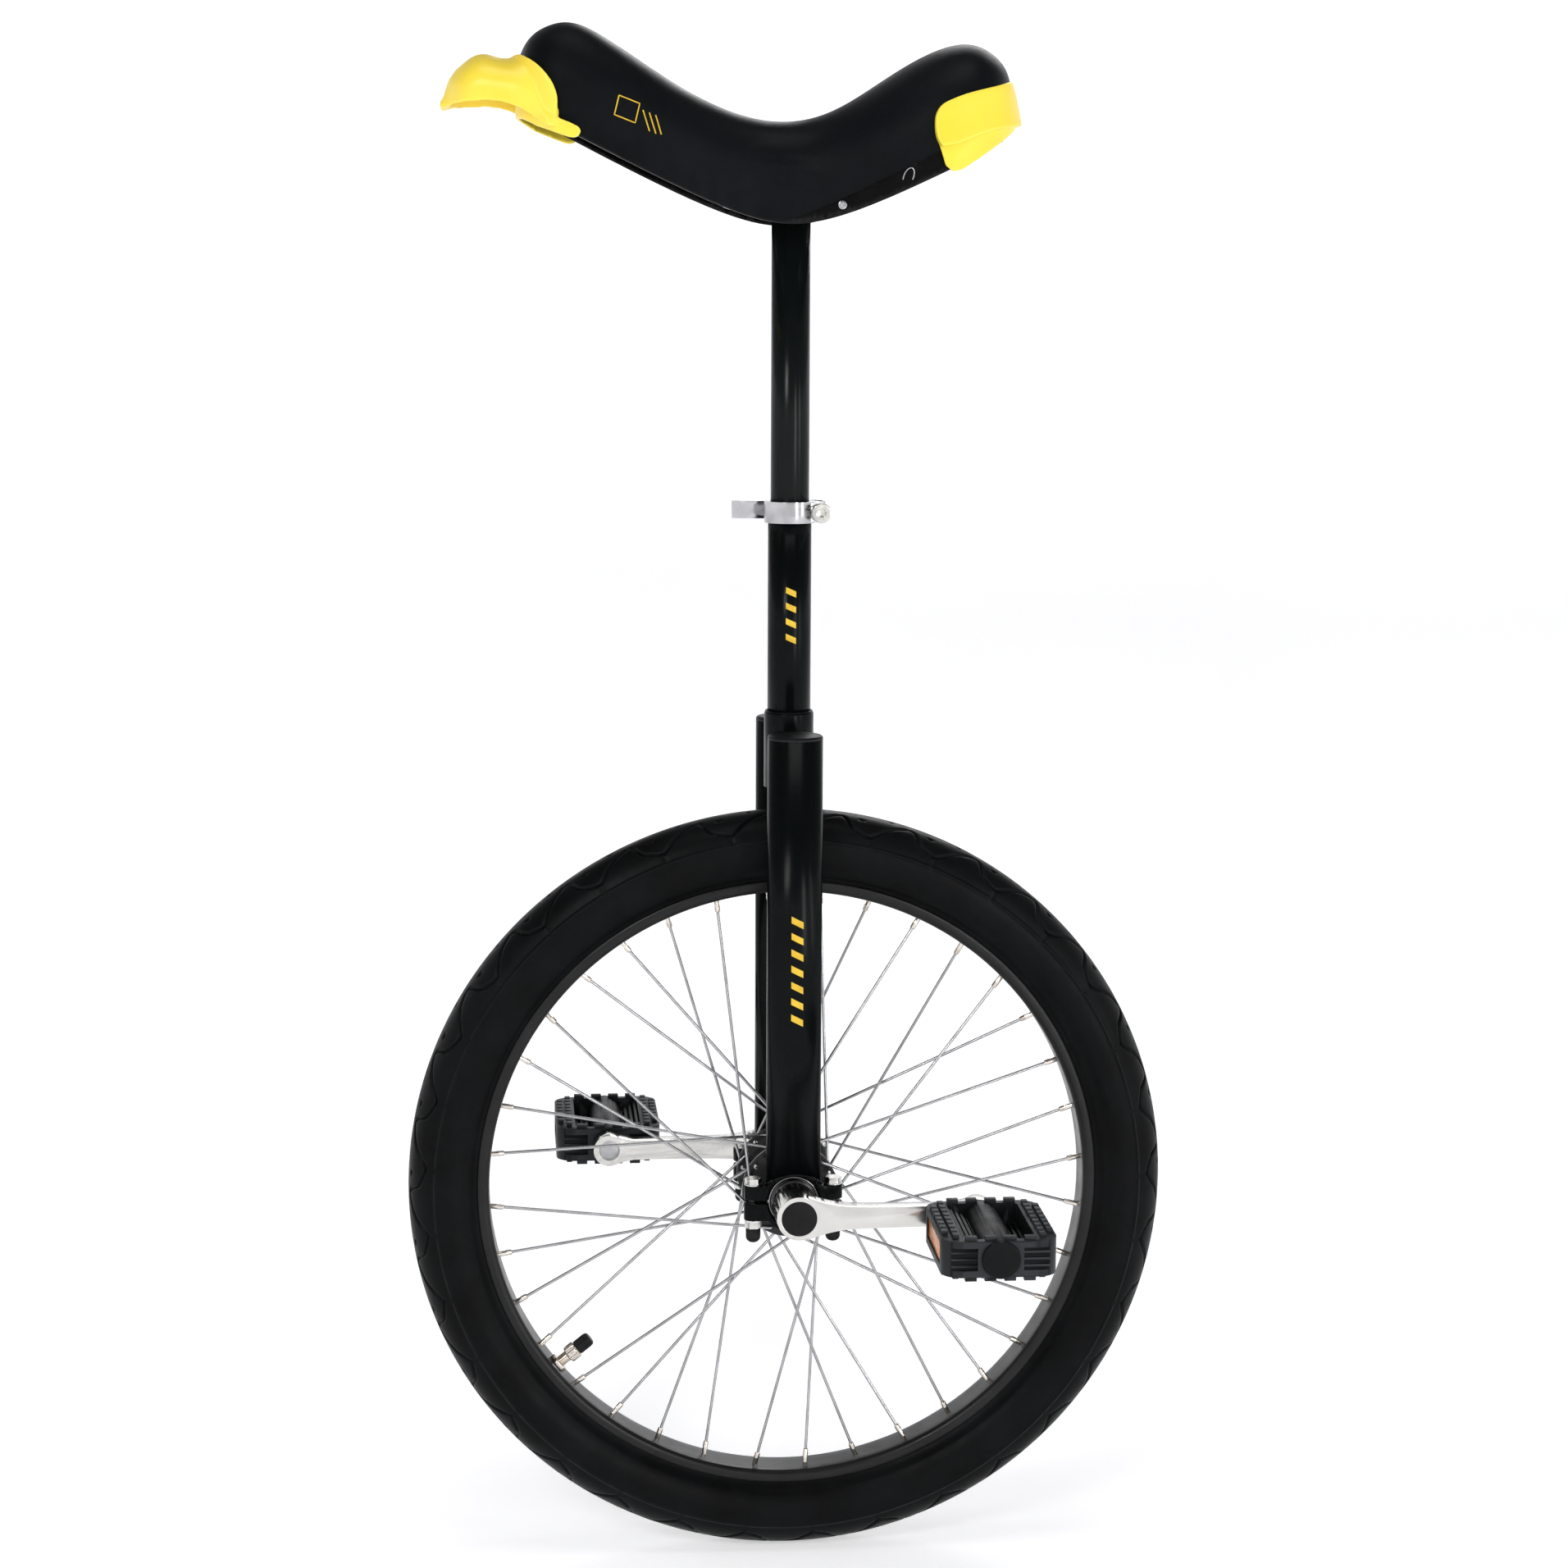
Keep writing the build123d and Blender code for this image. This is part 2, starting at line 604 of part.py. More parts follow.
def clamp_bolt():
    """Socket-head bolt that draws the ears together."""
    z_mid = (CLAMP_Z[0] + CLAMP_Z[1]) / 2
    head = fillet(bar_y(6.5, 11.05, 17.0, BOLT_X, z_mid).edges().group_by(Axis.Y)[-1], 0.8)
    socket = facing_y(BOLT_X, 13.4, z_mid) * RegularPolygon(2.5, 6, major_radius=False)
    return head - extrude(socket, amount=5) + bar_y(2.5, -22.0, 12.0, BOLT_X, z_mid)


LEVER_Y = -19.4


def lever_barrel():
    """Upright cross pin that the bolt screws into and the lever turns on."""
    z0, z1 = CLAMP_Z
    return bar_z(4.2, z0 + 0.6, z1 - 0.6, BOLT_X, LEVER_Y) - bar_y(2.5 + FIT, -30, 0, BOLT_X, (z0 + z1) / 2)


def lever_washer():
    """Dished washer between the cam and the ear."""
    return ring_y(6.2, 2.5 + FIT, -12.7, -11.0, BOLT_X, (CLAMP_Z[0] + CLAMP_Z[1]) / 2)


def clamp_lever():
    """Cast lever with its eccentric cam, lying forwards along the right side."""
    z0, z1 = CLAMP_Z[0] + 1.2, CLAMP_Z[1] - 1.2
    z_mid = (z0 + z1) / 2
    height = z1 - z0
    route = Spline((BOLT_X - 1, -24.0), (0, -24.4), (18, -21.0), (28, -20.6), (36.5, -24.5))
    edge_in = Spline((BOLT_X - 1, -22.0), (0, -22.4), (18, -19.2), (27, -18.6), (35.4, -21.8))
    face = make_face([route, edge_in, Line(route @ 0, edge_in @ 0), Line(route @ 1, edge_in @ 1)])
    arm = extrude(Pos(0, 0, z0) * face, amount=height)
    cam = bar_z(5.8, z0, z1, BOLT_X, LEVER_Y + 0.85)
    body = cam + arm - bar_z(4.2 + FIT, z0 - 1, z1 + 1, BOLT_X, LEVER_Y)
    # the cam is forked round the bolt, open wide enough to let the lever swing
    fork = block(BOLT_X - 12, BOLT_X + 3.2, -30, -10, z_mid - 2.9, z_mid + 2.9)
    return body - (fork - block(BOLT_X - 20, BOLT_X + 20, -40, -23.6, 0, 2000))


# ---- saddle ---------------------------------------------------------------------
# x, half width, lowest point, highest point: heights above the axle
STATIONS = [
    (-139.6, 14, 702, 724),
    (-138.2, 31, 693, 731),
    (-134.6, 47, 683, 739),
    (-127.0, 61, 671, 746.6),
    (-111.0, 74, 652, 752.4),
    (-85.0, 75, 640, 745),
    (-55.0, 66, 628, 727),
    (-20.0, 52, 616, 707.6),
    (10.0, 46, 612, 703),
    (45.0, 46, 618, 711),
    (85.0, 49, 636, 732),
    (120.0, 50, 654, 754.4),
    (145.0, 48, 668, 763.8),
    (158.0, 44, 677, 760.8),
    (166.5, 37, 687, 755.4),
    (172.0, 28, 698, 748.2),
    (174.8, 18, 708, 741),
    (175.8, 11, 714, 736),
]


def belly(x):
    """Height of the saddle's underside: two straight flanks and a round middle."""
    return BELLY_Z + sqrt(BELLY_ROUND**2 + (BELLY_SLOPE * (x - BELLY_X)) ** 2) - BELLY_ROUND


def cover_edge(x):
    """Height of the cover's hem: it rises above the base towards the rear."""
    return belly(x) + 1.0 + (15.0 * (1 - exp((x - 8) / 35)) if x < 8 else 0.0)


def body_section(x, half, low, high, grow):
    """A rounded closed section of the saddle across Y."""
    half, low, high = half + grow, AX + low - grow, AX + high + grow
    count, power = 20, 0.8
    mid, tall = (low + high) / 2, (high - low) / 2

    def spot(k):
        a = 2 * pi * k / count
        c, s = cos(a), sin(a)
        y = half * (abs(c) ** power) * (1 if c >= 0 else -1)
        z = mid + tall * (abs(s) ** power) * (1 if s >= 0 else -1)
        return (x, y, z)

    return make_face(Spline(*[spot(k) for k in range(count)], periodic=True))


def saddle_body(grow):
    """The whole saddle's outside, made larger or smaller all round by grow."""
    rear, front = STATIONS[0][0], STATIONS[-1][0]
    middle, stretch = (rear + front) / 2, 1 + 2 * grow / (front - rear)
    sections = []
    for x, half, low, high in STATIONS:
        sections.append(body_section(middle + (x - middle) * stretch, half, low, high, grow))
    return loft(sections)


def above(height_at, lift=0.0):
    """All the space above a curve in the middle plane."""
    xs = [-190 + 10 * k for k in range(43)]
    edge = Spline(*[(x, 0, height_at(x) + lift) for x in xs])
    top = AX + 900
    sides = Polyline(edge @ 0, (xs[0], 0, top), (xs[-1], 0, top), edge @ 1)
    return extrude(make_face([edge, sides]), amount=120, both=True)


def saddle_cover():
    """Vinyl cover, open below."""
    shell = saddle_body(0) - saddle_body(-COVER_T)
    return shell & above(cover_edge)


def saddle_foam(inside):
    return inside & above(belly, ROOF + 0.2)


def saddle_base(inside):
    """Hollow plastic base: a roof under the foam and a skirt all round."""
    outside = inside & (above(belly) - above(belly, ROOF))
    hollow = saddle_body(-COVER_T - 7.0) - above(belly, ROOF - 3.5)
    return outside - hollow


def bracket_place(x, y, lift):
    """A frame that stands square on the bracket at x, y."""
    slope = (belly(x + 1) - belly(x - 1)) / 2
    tilt = -degrees(atan2(slope, 1))
    return Pos(x, y, belly(x) + lift) * Rot(0, tilt, 0)


BRACKET_TOP = ROOF - 3.7
BRACKET_T = 3.0
STUD_SPOTS = [(sx * 34 + BELLY_X, sy * 19) for sx in (1, -1) for sy in (1, -1)]


def saddle_bracket():
    """Curved steel plate on the seat post, bolted to the base."""
    plate = above(belly, BRACKET_TOP - BRACKET_T) - above(belly, BRACKET_TOP)
    plate = plate & block(-44, 48, -28, 28, AX + 600, AX + 700)
    holes = [bracket_place(x, y, BRACKET_TOP) * Cylinder(3.2, 20) for x, y in STUD_SPOTS]
    return plate - holes


def saddle_studs():
    studs = []
    for x, y in STUD_SPOTS:
        stud = Cylinder(3.0, 13, align=(Align.CENTER, Align.CENTER, Align.MAX))
        studs.append(bracket_place(x, y, BRACKET_TOP + 0.1) * stud)
    return group(studs)


def saddle_nuts():
    nuts = []
    for x, y in STUD_SPOTS:
        nut = hex_z(10, -BRACKET_T - 5.2, -BRACKET_T - 0.1) - bar_z(3.05, -20, 0)
        nuts.append(bracket_place(x, y, BRACKET_TOP) * nut)
    return group(nuts)


def seat_post():
    """Steel post, open at its lower end, welded under the bracket."""
    z0, z1 = POST_Z
    return bar_z(POST_R, z0, z1) - bar_z(POST_R - 1.6, z0 - 1, z1 - 3)


def side_prism(points, curve=()):
    """Everything inside an outline in the middle plane, heights above the axle; curve is its smooth part."""
    corners = [(x, 0, AX + z) for x, z in points]
    if not curve:
        return extrude(make_face(Polyline(*corners, close=True)), amount=120, both=True)
    smooth = Spline(*[(x, 0, AX + z) for x, z in curve])
    return extrude(make_face([smooth, Polyline(smooth @ 1, *corners, smooth @ 0)]), amount=120, both=True)


# x, half width, height of the rim, height of the crown: above the axle
HANDLE = [
    (150, 45, 697.5, 736),
    (168, 46, 703.5, 741.5),
    (176, 46, 708, 743),
    (184, 45, 711, 740.8),
    (196, 42, 712.5, 743.4),
    (205, 40, 712, 741.5),
    (214, 33.5, 711, 734.5),
    (221, 22, 709.5, 724),
]
HANDLE_WALL = 4.0


def arch(x, half, low, high):
    """A half-round arch across Y, closed below."""
    low, high = AX + low, AX + high
    shoulder = low + (high - low) * 0.62
    curve = Spline(
        (x, half, low), (x, half * 0.93, shoulder), (x, half * 0.52, high - (high - low) * 0.08),
        (x, 0, high),
        (x, -half * 0.52, high - (high - low) * 0.08), (x, -half * 0.93, shoulder), (x, -half, low),
    )
    return make_face([curve, Line((x, half, low), (x, -half, low))])


def handle_scoop():
    """The front handle: a scoop that is open below, for the fingers."""
    outside = loft([arch(*s) for s in HANDLE] + [arch(225.2, 9, 709, 715.5)])
    w = HANDLE_WALL
    inside = loft([arch(x, half - w, low - 14, high - w) for x, half, low, high in HANDLE[:-1]]
                  + [arch(219, 14, 697, 716)])
    return outside - inside


def front_bumper(clear):
    """Yellow nose guard with the handle in one piece, and a tab along the base."""
    edge = [
        (175.5, 742.5), (172.6, 741), (165.6, 736.5), (158.5, 729.3), (153.7, 721.7),
        (151.5, 713.4), (152.0, 706.8), (153.2, 702.6),
    ]
    rest = [
        (145.8, 700.0), (138.1, 696.4), (136.8, 693.6), (138.2, 690.6), (141.5, 689.4),
        (146.5, 690.6), (164.0, 697.0), (192, 712), (192, 744),
    ]
    guard = (saddle_body(3.6) & side_prism(rest, edge)) + handle_scoop()
    guard = guard & side_prism([(130, 680), (190, 690), (240, 700), (240, 760), (130, 760)])
    guard = guard - clear
    return biggest(guard - nose_room())


def nose_room():
    """Keeps the handle's inside open behind the guard's wall."""
    return block(177.5, 208, -32.8, 32.8, AX + 680, AX + 727.5)


# height above the axle, half width, rear end: the tail guard flares downwards
TAIL = [(736, 66, -135.5), (728, 73.5, -139.0), (714, 78.0, -142.6), (702, 80.5, -145.0), (660, 81.0, -146.0)]
TAIL_X = -75.0


def tail_plan(height, half, rear):
    """Half of a squarish oval behind TAIL_X, seen from above."""
    reach, count, power = TAIL_X - rear, 14, 2 / 3.4
    points = []
    for k in range(count + 1):
        a = pi * k / count
        y = half * abs(cos(a)) ** power * (1 if cos(a) >= 0 else -1)
        points.append((TAIL_X - reach * sin(a) ** power, y, AX + height))
    edge = Spline(*points)
    return make_face([edge, Line(edge @ 1, edge @ 0)])


def rear_bumper(clear):
    """Yellow tail guard: a flared band, and a thinner lip set back below it."""
    top = [
        (-87.4, 685.0), (-84.8, 689.0), (-83.2, 698.7), (-84.0, 704.8), (-87.6, 710.2), (-93.5, 713.6),
        (-103.2, 717.4), (-114.7, 720.6), (-126.2, 723.6), (-137.2, 727.4), (-160, 733),
    ]
    under = [(-160, 700.5), (-144, 700.2), (-131, 697.7), (-122.2, 696.0), (-109.3, 691.6), (-97.5, 686.6)]
    band = loft([tail_plan(*spot) for spot in TAIL]) & side_prism(under, top)
    below = [(-90.5, 673.5), (-95.2, 669.9), (-101, 671.2), (-115.2, 680.4), (-133, 692.6), (-160, 712)]
    lip = saddle_body(2.4) & side_prism(below + [(-160, 703), (-131, 700.7), (-109.3, 694.6), (-86, 687)])
    return biggest((band + lip) - clear)


def biggest(shape):
    """The main solid of a cut, without slivers."""
    return sorted(shape.solids(), key=lambda s: s.volume)[-1]


# ---- write every piece ----------------------------------------------------------
left_crank, left_pedal = crank(), pedal_body()
left_spindle, left_cap, left_amber = pedal_spindle(), pedal_end_cap(), pedal_reflectors()
saddle_inside = saddle_body(-COVER_T - 0.3)
saddle_clear = saddle_body(0.4)
left_leg, left_holder, left_bearing_cap = fork_leg(), bearing_holder(), bearing_cap()

save(tyre(), "tyre")
save(inner_tube(), "inner_tube")
save(rim(), "rim")
save(rim_tape(), "rim_tape")
save(group(spoke(k) for k in range(SPOKES)), "spokes")
save(group(nipple(k) for k in range(SPOKES)), "nipples")
save(valve_stem(), "valve_stem")
save(valve_rim_nut(), "valve_rim_nut")
save(valve_union_nut(), "valve_union_nut")
save(valve_cap(), "valve_cap")
save(hub_shell(), "hub_shell")
save(axle(), "axle")
save(both(hub_spacer()), "hub_spacers")
save(both(bearing_outer()), "bearing_outer_rings")
save(both(bearing_inner()), "bearing_inner_rings")
save(bearing_balls(), "bearing_balls")
save(bearing_seals(), "bearing_seals")
save(left_crank, "crank_left")
save(half_turn(left_crank), "crank_right")
save(both(crank_bolt()), "crank_bolts")
save(both(dust_cap()), "dust_caps")
save(left_spindle, "pedal_spindle_left")
save(half_turn(left_spindle), "pedal_spindle_right")
save(group([pedal_cone(), half_turn(pedal_cone())]), "pedal_cones")
save(pedal_balls(), "pedal_balls")
save(left_pedal, "pedal_body_left")
save(half_turn(left_pedal), "pedal_body_right")
save(left_cap, "pedal_end_cap_left")
save(half_turn(left_cap), "pedal_end_cap_right")
save(left_amber, "pedal_reflectors_left")
save(half_turn(left_amber), "pedal_reflectors_right")
save(neck_tube(), "neck_tube")
save(crown_sleeve(), "crown_sleeve")
save(both(crown_bridge()), "crown_bridges")
save(left_leg, "fork_leg_left")
save(other_side(left_leg), "fork_leg_right")
save(both(leg_plug()), "leg_plugs")
save(left_holder, "bearing_holder_left")
save(other_side(left_holder), "bearing_holder_right")
save(left_bearing_cap, "bearing_cap_left")
save(other_side(left_bearing_cap), "bearing_cap_right")
save(at_ears(holder_bolt()), "holder_bolts")
save(at_ears(holder_nut()), "holder_nuts")
save(at_ears(holder_nut_cap()), "holder_nut_caps")
save(seat_clamp_band(), "seat_clamp_band")
save(clamp_bolt(), "clamp_bolt")
save(lever_barrel(), "lever_barrel")
save(lever_washer(), "lever_washer")
save(clamp_lever(), "clamp_lever")
save(seat_post(), "seat_post")
save(saddle_bracket(), "saddle_bracket")
save(saddle_base(saddle_inside), "saddle_base")
save(saddle_foam(saddle_inside), "saddle_foam")
save(saddle_cover(), "saddle_cover")
save(saddle_studs(), "saddle_studs")
save(saddle_nuts(), "saddle_nuts")
save(front_bumper(saddle_clear), "front_bumper")
save(rear_bumper(saddle_clear), "rear_bumper")
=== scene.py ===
from math import cos, exp, pi, radians, sin, sqrt

import bmesh
import bpy
import numpy as np
from mathutils import Matrix, Vector


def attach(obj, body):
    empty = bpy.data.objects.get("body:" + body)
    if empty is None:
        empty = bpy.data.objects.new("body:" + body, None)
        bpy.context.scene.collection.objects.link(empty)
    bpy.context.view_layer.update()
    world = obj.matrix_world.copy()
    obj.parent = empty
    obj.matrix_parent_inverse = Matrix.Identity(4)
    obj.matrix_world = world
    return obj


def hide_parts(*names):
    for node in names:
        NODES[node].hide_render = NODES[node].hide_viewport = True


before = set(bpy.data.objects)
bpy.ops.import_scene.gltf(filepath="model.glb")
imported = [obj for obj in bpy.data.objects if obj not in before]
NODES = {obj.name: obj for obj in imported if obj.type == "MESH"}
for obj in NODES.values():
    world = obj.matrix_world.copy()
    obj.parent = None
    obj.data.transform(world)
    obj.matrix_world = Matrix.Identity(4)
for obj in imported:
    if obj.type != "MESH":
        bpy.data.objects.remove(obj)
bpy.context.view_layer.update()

# +X is forwards, +Y the rider's left and +Z up, as in the CAD
MM = 0.001                        # a millimetre, in metres
AX = 0.2545                       # height of the axle, metres
AX_MM = 254.5                     # the same, millimetres

# camera: millimetres for the lens, metres for the places, radians for the roll
LENS = 74.71
SENSOR = 36.0
EYE = (0.19104, 2.13038, 0.84973)
AIM = (0.00298, 0.0, 0.52561)
ROLL = 0.0045

# soft boxes: place, height aimed at, width and height, watts
LIGHTS = {
    "key_box": ((1.5, 2.8, 2.4), 0.45, (0.8, 0.8), 27),
    "strip_box": ((-1.4, 2.75, 0.9), 0.5, (0.24, 2.2), 21),
    "side_box": ((-2.7, 2.0, 1.1), 0.5, (0.3, 2.0), 11),
    "rear_box": ((-0.9, -3.0, 2.2), 0.5, (1.4, 0.9), 20),
    "top_box": ((0.0, 0.3, 3.4), 0.3, (1.6, 1.6), 22),
}
FLOOR_FLAT, FLOOR_WALL, FLOOR_HEIGHT = 3.4, 5.0, 2.3    # radii and height of the sweep
FLOOR_SIDES, FLOOR_CURVE = 96, 12

# wheel, metres and degrees
TYRE_CENTRE = 0.2296              # radius of the tyre section's own centre
TYRE_SECTION = 0.0249             # radius of the tyre's section
CASING = 0.0204                   # the same on the tyre's inside
TREAD_RADIUS = 0.2475             # radius at which a repeat of the tread is measured
TREAD_START = 77.53               # angle of the first repeat
SPOKES = 36
FIRST_NIPPLE = 183.9
CROSSING = 60                     # turn of a spoke from the rim to its hole in the flange
RIM_END, HOLE_RADIUS = 0.201, 0.0282
FLANGE_Y, FLANGE_HALF = 0.024, 0.0015
SPOKE_RADIUS, SPOKE_BEND = 0.001, 0.0022
NIPPLE_REACH = 0.0096
VALVE_ANGLE = -141.1

# frame and saddle, millimetres
LEG_Y = 48.5
LEG_R, NECK_R = 18.0, 14.3
COVER_THICK = 1.4
COVER_ROWS, COVER_ACROSS = 190, 72
COVER_POWER = 0.8                 # how square the saddle's section is


# ---- materials ------------------------------------------------------------------
def node(tree, kind, **values):
    made = tree.nodes.new("ShaderNode" + kind)
    for key, value in values.items():
        if key in made.inputs:
            made.inputs[key].default_value = value
        else:
            setattr(made, key, value)
    return made


def place(tree, stretch=(1, 1, 1)):
    """Object coordinates in metres, stretched."""
    coord = node(tree, "TexCoord")
    mapping = node(tree, "Mapping", Scale=stretch)
    tree.links.new(coord.outputs["Object"], mapping.inputs["Vector"])
    return mapping.outputs["Vector"]


def noise(tree, scale, detail, stretch=(1, 1, 1)):
    made = node(tree, "TexNoise", Scale=scale, Detail=detail)
    tree.links.new(place(tree, stretch), made.inputs["Vector"])
    return made.outputs["Fac"]


def ramp(tree, fac, stops):
    made = node(tree, "ValToRGB")
    for at, colour in stops[2:]:
        made.color_ramp.elements.new(at)
    for element, (at, colour) in zip(made.color_ramp.elements, stops):
        element.position = at
        element.color = (*colour, 1)
    tree.links.new(fac, made.inputs["Fac"])
    return made.outputs["Color"]


def level(tree, fac, low, high, start=0.3, end=0.7):
    """A value from low to high as fac goes from start to end."""
    made = node(tree, "MapRange")
    for socket, value in zip(("From Min", "From Max", "To Min", "To Max"), (start, end, low, high)):
        made.inputs[socket].default_value = value
    tree.links.new(fac, made.inputs["Value"])
    return made.outputs["Result"]


def bump(tree, height, strength, distance, under=None):
    """A bumped normal, on top of another one if it is given."""
    made = node(tree, "Bump", Strength=strength, Distance=distance)
    tree.links.new(height, made.inputs["Height"])
    if under is not None:
        tree.links.new(under, made.inputs["Normal"])
    return made.outputs["Normal"]


WORN_FROM, WORN_TO = 0.515, 0.56  # pointiness at which an edge starts to look worn, and is fully so


def finish_of(name, dark, light, rough, grain, depth, patch=30.0, stretch=(1, 1, 1), edge=None,
              cells=0.0, **sockets):
    """A material: patchy colour from dark to light, uneven roughness, fine grain, and worn edges.

    rough is the lowest and highest roughness, grain the scale of the fine bumps and depth their height in
    metres, patch the scale of the patches, edge the colour of worn edges and cells the scale of a leather
    grain. The rest are values for the shader's own sockets.
    """
    mat = bpy.data.materials.new(name)
    mat.use_nodes = True
    tree = mat.node_tree
    bsdf = tree.nodes["Principled BSDF"]
    for socket, value in sockets.items():
        bsdf.inputs[socket.replace("_", " ")].default_value = value
    colour = ramp(tree, noise(tree, patch, 5.0, stretch), [(0.32, dark), (0.68, light)])
    if edge:
        geometry = node(tree, "NewGeometry")
        worn = level(tree, geometry.outputs["Pointiness"], 0.0, 1.0, WORN_FROM, WORN_TO)
        mix = node(tree, "Mix", data_type="RGBA")
        tree.links.new(worn, mix.inputs[0])
        tree.links.new(colour, mix.inputs[6])
        mix.inputs[7].default_value = (*edge, 1)
        colour = mix.outputs[2]
    tree.links.new(colour, bsdf.inputs["Base Color"])
    tree.links.new(level(tree, noise(tree, patch * 2.3, 4.0, stretch), *rough), bsdf.inputs["Roughness"])
    height = noise(tree, grain, 6.0, stretch)
    normal = bump(tree, height, 1.0, depth)
    if cells:
        cell = node(tree, "TexVoronoi", Scale=cells, feature="DISTANCE_TO_EDGE")
        tree.links.new(place(tree), cell.inputs["Vector"])
        seams = level(tree, cell.outputs["Distance"], 0.0, 1.0, 0.0, 0.12)
        normal = bump(tree, seams, 0.6, depth * 1.5, normal)
    tree.links.new(normal, bsdf.inputs["Normal"])
    return mat


def grey(value):
    """A grey with a trace of blue."""
    return (value, value, value * 1.02)


# dark, light, roughness, grain, depth, and what differs from the usual
FINISHES = {
    "tyre_rubber": ((0.0024, 0.0026, 0.0028), (0.0048, 0.0054, 0.0060), (0.32, 0.46), 900, 0.00006,
                    dict(edge=(0.007, 0.009, 0.010), Specular_IOR_Level=0.065)),
    "tube_rubber": (grey(0.014), grey(0.022), (0.5, 0.62), 700, 0.00004, {}),
    "rim_black": (grey(0.006), grey(0.011), (0.26, 0.36), 1400, 0.00001,
                  dict(Metallic=0.1, Specular_IOR_Level=0.26)),
    "rim_tape_rubber": (grey(0.02), grey(0.03), (0.6, 0.7), 800, 0.00004, {}),
    "spoke_steel": (grey(0.34), grey(0.50), (0.18, 0.30), 2500, 0.000004, dict(patch=60, Metallic=1.0)),
    "nickel_brass": ((0.60, 0.55, 0.49), (0.80, 0.75, 0.69), (0.14, 0.28), 1800, 0.000006,
                     dict(patch=160, Metallic=1.0)),
    "black_plastic": ((0.0036, 0.0044, 0.0046), (0.0064, 0.0074, 0.0078), (0.36, 0.48), 1500, 0.00005,
                      dict(patch=45, edge=(0.030, 0.033, 0.036), Specular_IOR_Level=0.09)),
    "cap_plastic": (grey(0.007), grey(0.012), (0.26, 0.36), 1700, 0.00002,
                    dict(patch=80, edge=grey(0.02), Specular_IOR_Level=0.07)),
    "hub_steel": (grey(0.009), grey(0.015), (0.26, 0.38), 1200, 0.00002,
                  dict(edge=grey(0.06), Specular_IOR_Level=0.20)),
    "axle_steel": (grey(0.40), grey(0.54), (0.22, 0.36), 1600, 0.000008, dict(patch=90, Metallic=1.0)),
    "bearing_steel": (grey(0.20), grey(0.32), (0.12, 0.22), 2000, 0.000003, dict(patch=90, Metallic=1.0)),
    "seal_rubber": (grey(0.015), grey(0.024), (0.45, 0.58), 900, 0.00003, {}),
    "crank_chrome": ((0.60, 0.59, 0.565), (0.70, 0.69, 0.66), (0.14, 0.24), 1500, 0.000006,
                     dict(patch=35, Metallic=1.0)),
    "frame_paint": ((0.0008, 0.0013, 0.0014), (0.0015, 0.0023, 0.0024), (0.18, 0.26), 420, 0.00003,
                    dict(patch=18, edge=(0.0022, 0.0032, 0.0034), Specular_IOR_Level=0.08)),
    "bolt_steel": ((0.54, 0.53, 0.50), (0.72, 0.71, 0.67), (0.16, 0.32), 1500, 0.00001,
                   dict(patch=150, edge=grey(0.80), Metallic=1.0)),
    "post_steel": ((0.0020, 0.0030, 0.0032), (0.0036, 0.0050, 0.0052), (0.16, 0.24), 500, 0.00003,
                   dict(patch=22, stretch=(1, 1, 0.25), edge=(0.004, 0.0055, 0.0055),
                        Specular_IOR_Level=0.13)),
    "clamp_chrome": (grey(0.40), grey(0.56), (0.12, 0.24), 1300, 0.000008, dict(patch=70, Metallic=1.0)),
    "base_plastic": (grey(0.0018), grey(0.0036), (0.38, 0.50), 1300, 0.00005,
                     dict(patch=40, edge=grey(0.02), Specular_IOR_Level=0.05)),
    "foam": ((0.42, 0.38, 0.24), (0.56, 0.52, 0.36), (0.85, 0.95), 600, 0.0004, dict(cells=500)),
    "vinyl_cover": ((0.0026, 0.0034, 0.0042), (0.0052, 0.0064, 0.0078), (0.34, 0.44), 1100, 0.00004,
                    dict(patch=14, cells=900, Specular_IOR_Level=0.055)),
    "yellow_plastic": ((0.92, 0.69, 0.050), (0.96, 0.74, 0.075), (0.30, 0.40), 700, 0.00003,
                       dict(patch=20, edge=(0.97, 0.80, 0.09), Specular_IOR_Level=0.35)),
    "amber_plastic": ((0.62, 0.17, 0.010), (0.85, 0.28, 0.020), (0.12, 0.22), 900, 0.00008,
                      dict(patch=120, cells=420, Specular_IOR_Level=0.6)),
}
MATS = {name: finish_of(name, *row[:-1], **row[-1]) for name, row in FINISHES.items()}
GOLD_PRINT = finish_of("gold_print", (0.66, 0.42, 0.030), (0.80, 0.54, 0.050), (0.40, 0.52), 1600, 0.00001,
                       patch=160, Specular_IOR_Level=0.2)


# ---- pieces ---------------------------------------------------------------------
def piece(name, verts, faces, mat, body, smooth, replaces=()):
    """A mesh object of the unicycle that rides on a body, with edges sharper than smooth kept crisp."""
    mesh = bpy.data.meshes.new(name)
    mesh.from_pydata([tuple(v) for v in verts], [], faces)
    mesh.update()
    made = bpy.data.objects.new(name, mesh)
    bpy.context.scene.collection.objects.link(made)
    tidy = bmesh.new()
    tidy.from_mesh(mesh)
    bmesh.ops.recalc_face_normals(tidy, faces=tidy.faces)
    tidy.to_mesh(mesh)
    tidy.free()
    mesh.materials.append(MATS[mat])
    soften(made, smooth)
    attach(made, body)
    if replaces:
        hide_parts(*replaces)
    return made


def soften(made, angle):
    """Smooth shading, with edges sharper than angle kept crisp."""
    mesh = made.data
    mesh.polygons.foreach_set("use_smooth", [True] * len(mesh.polygons))
    mesh.set_sharp_from_angle(angle=radians(angle))


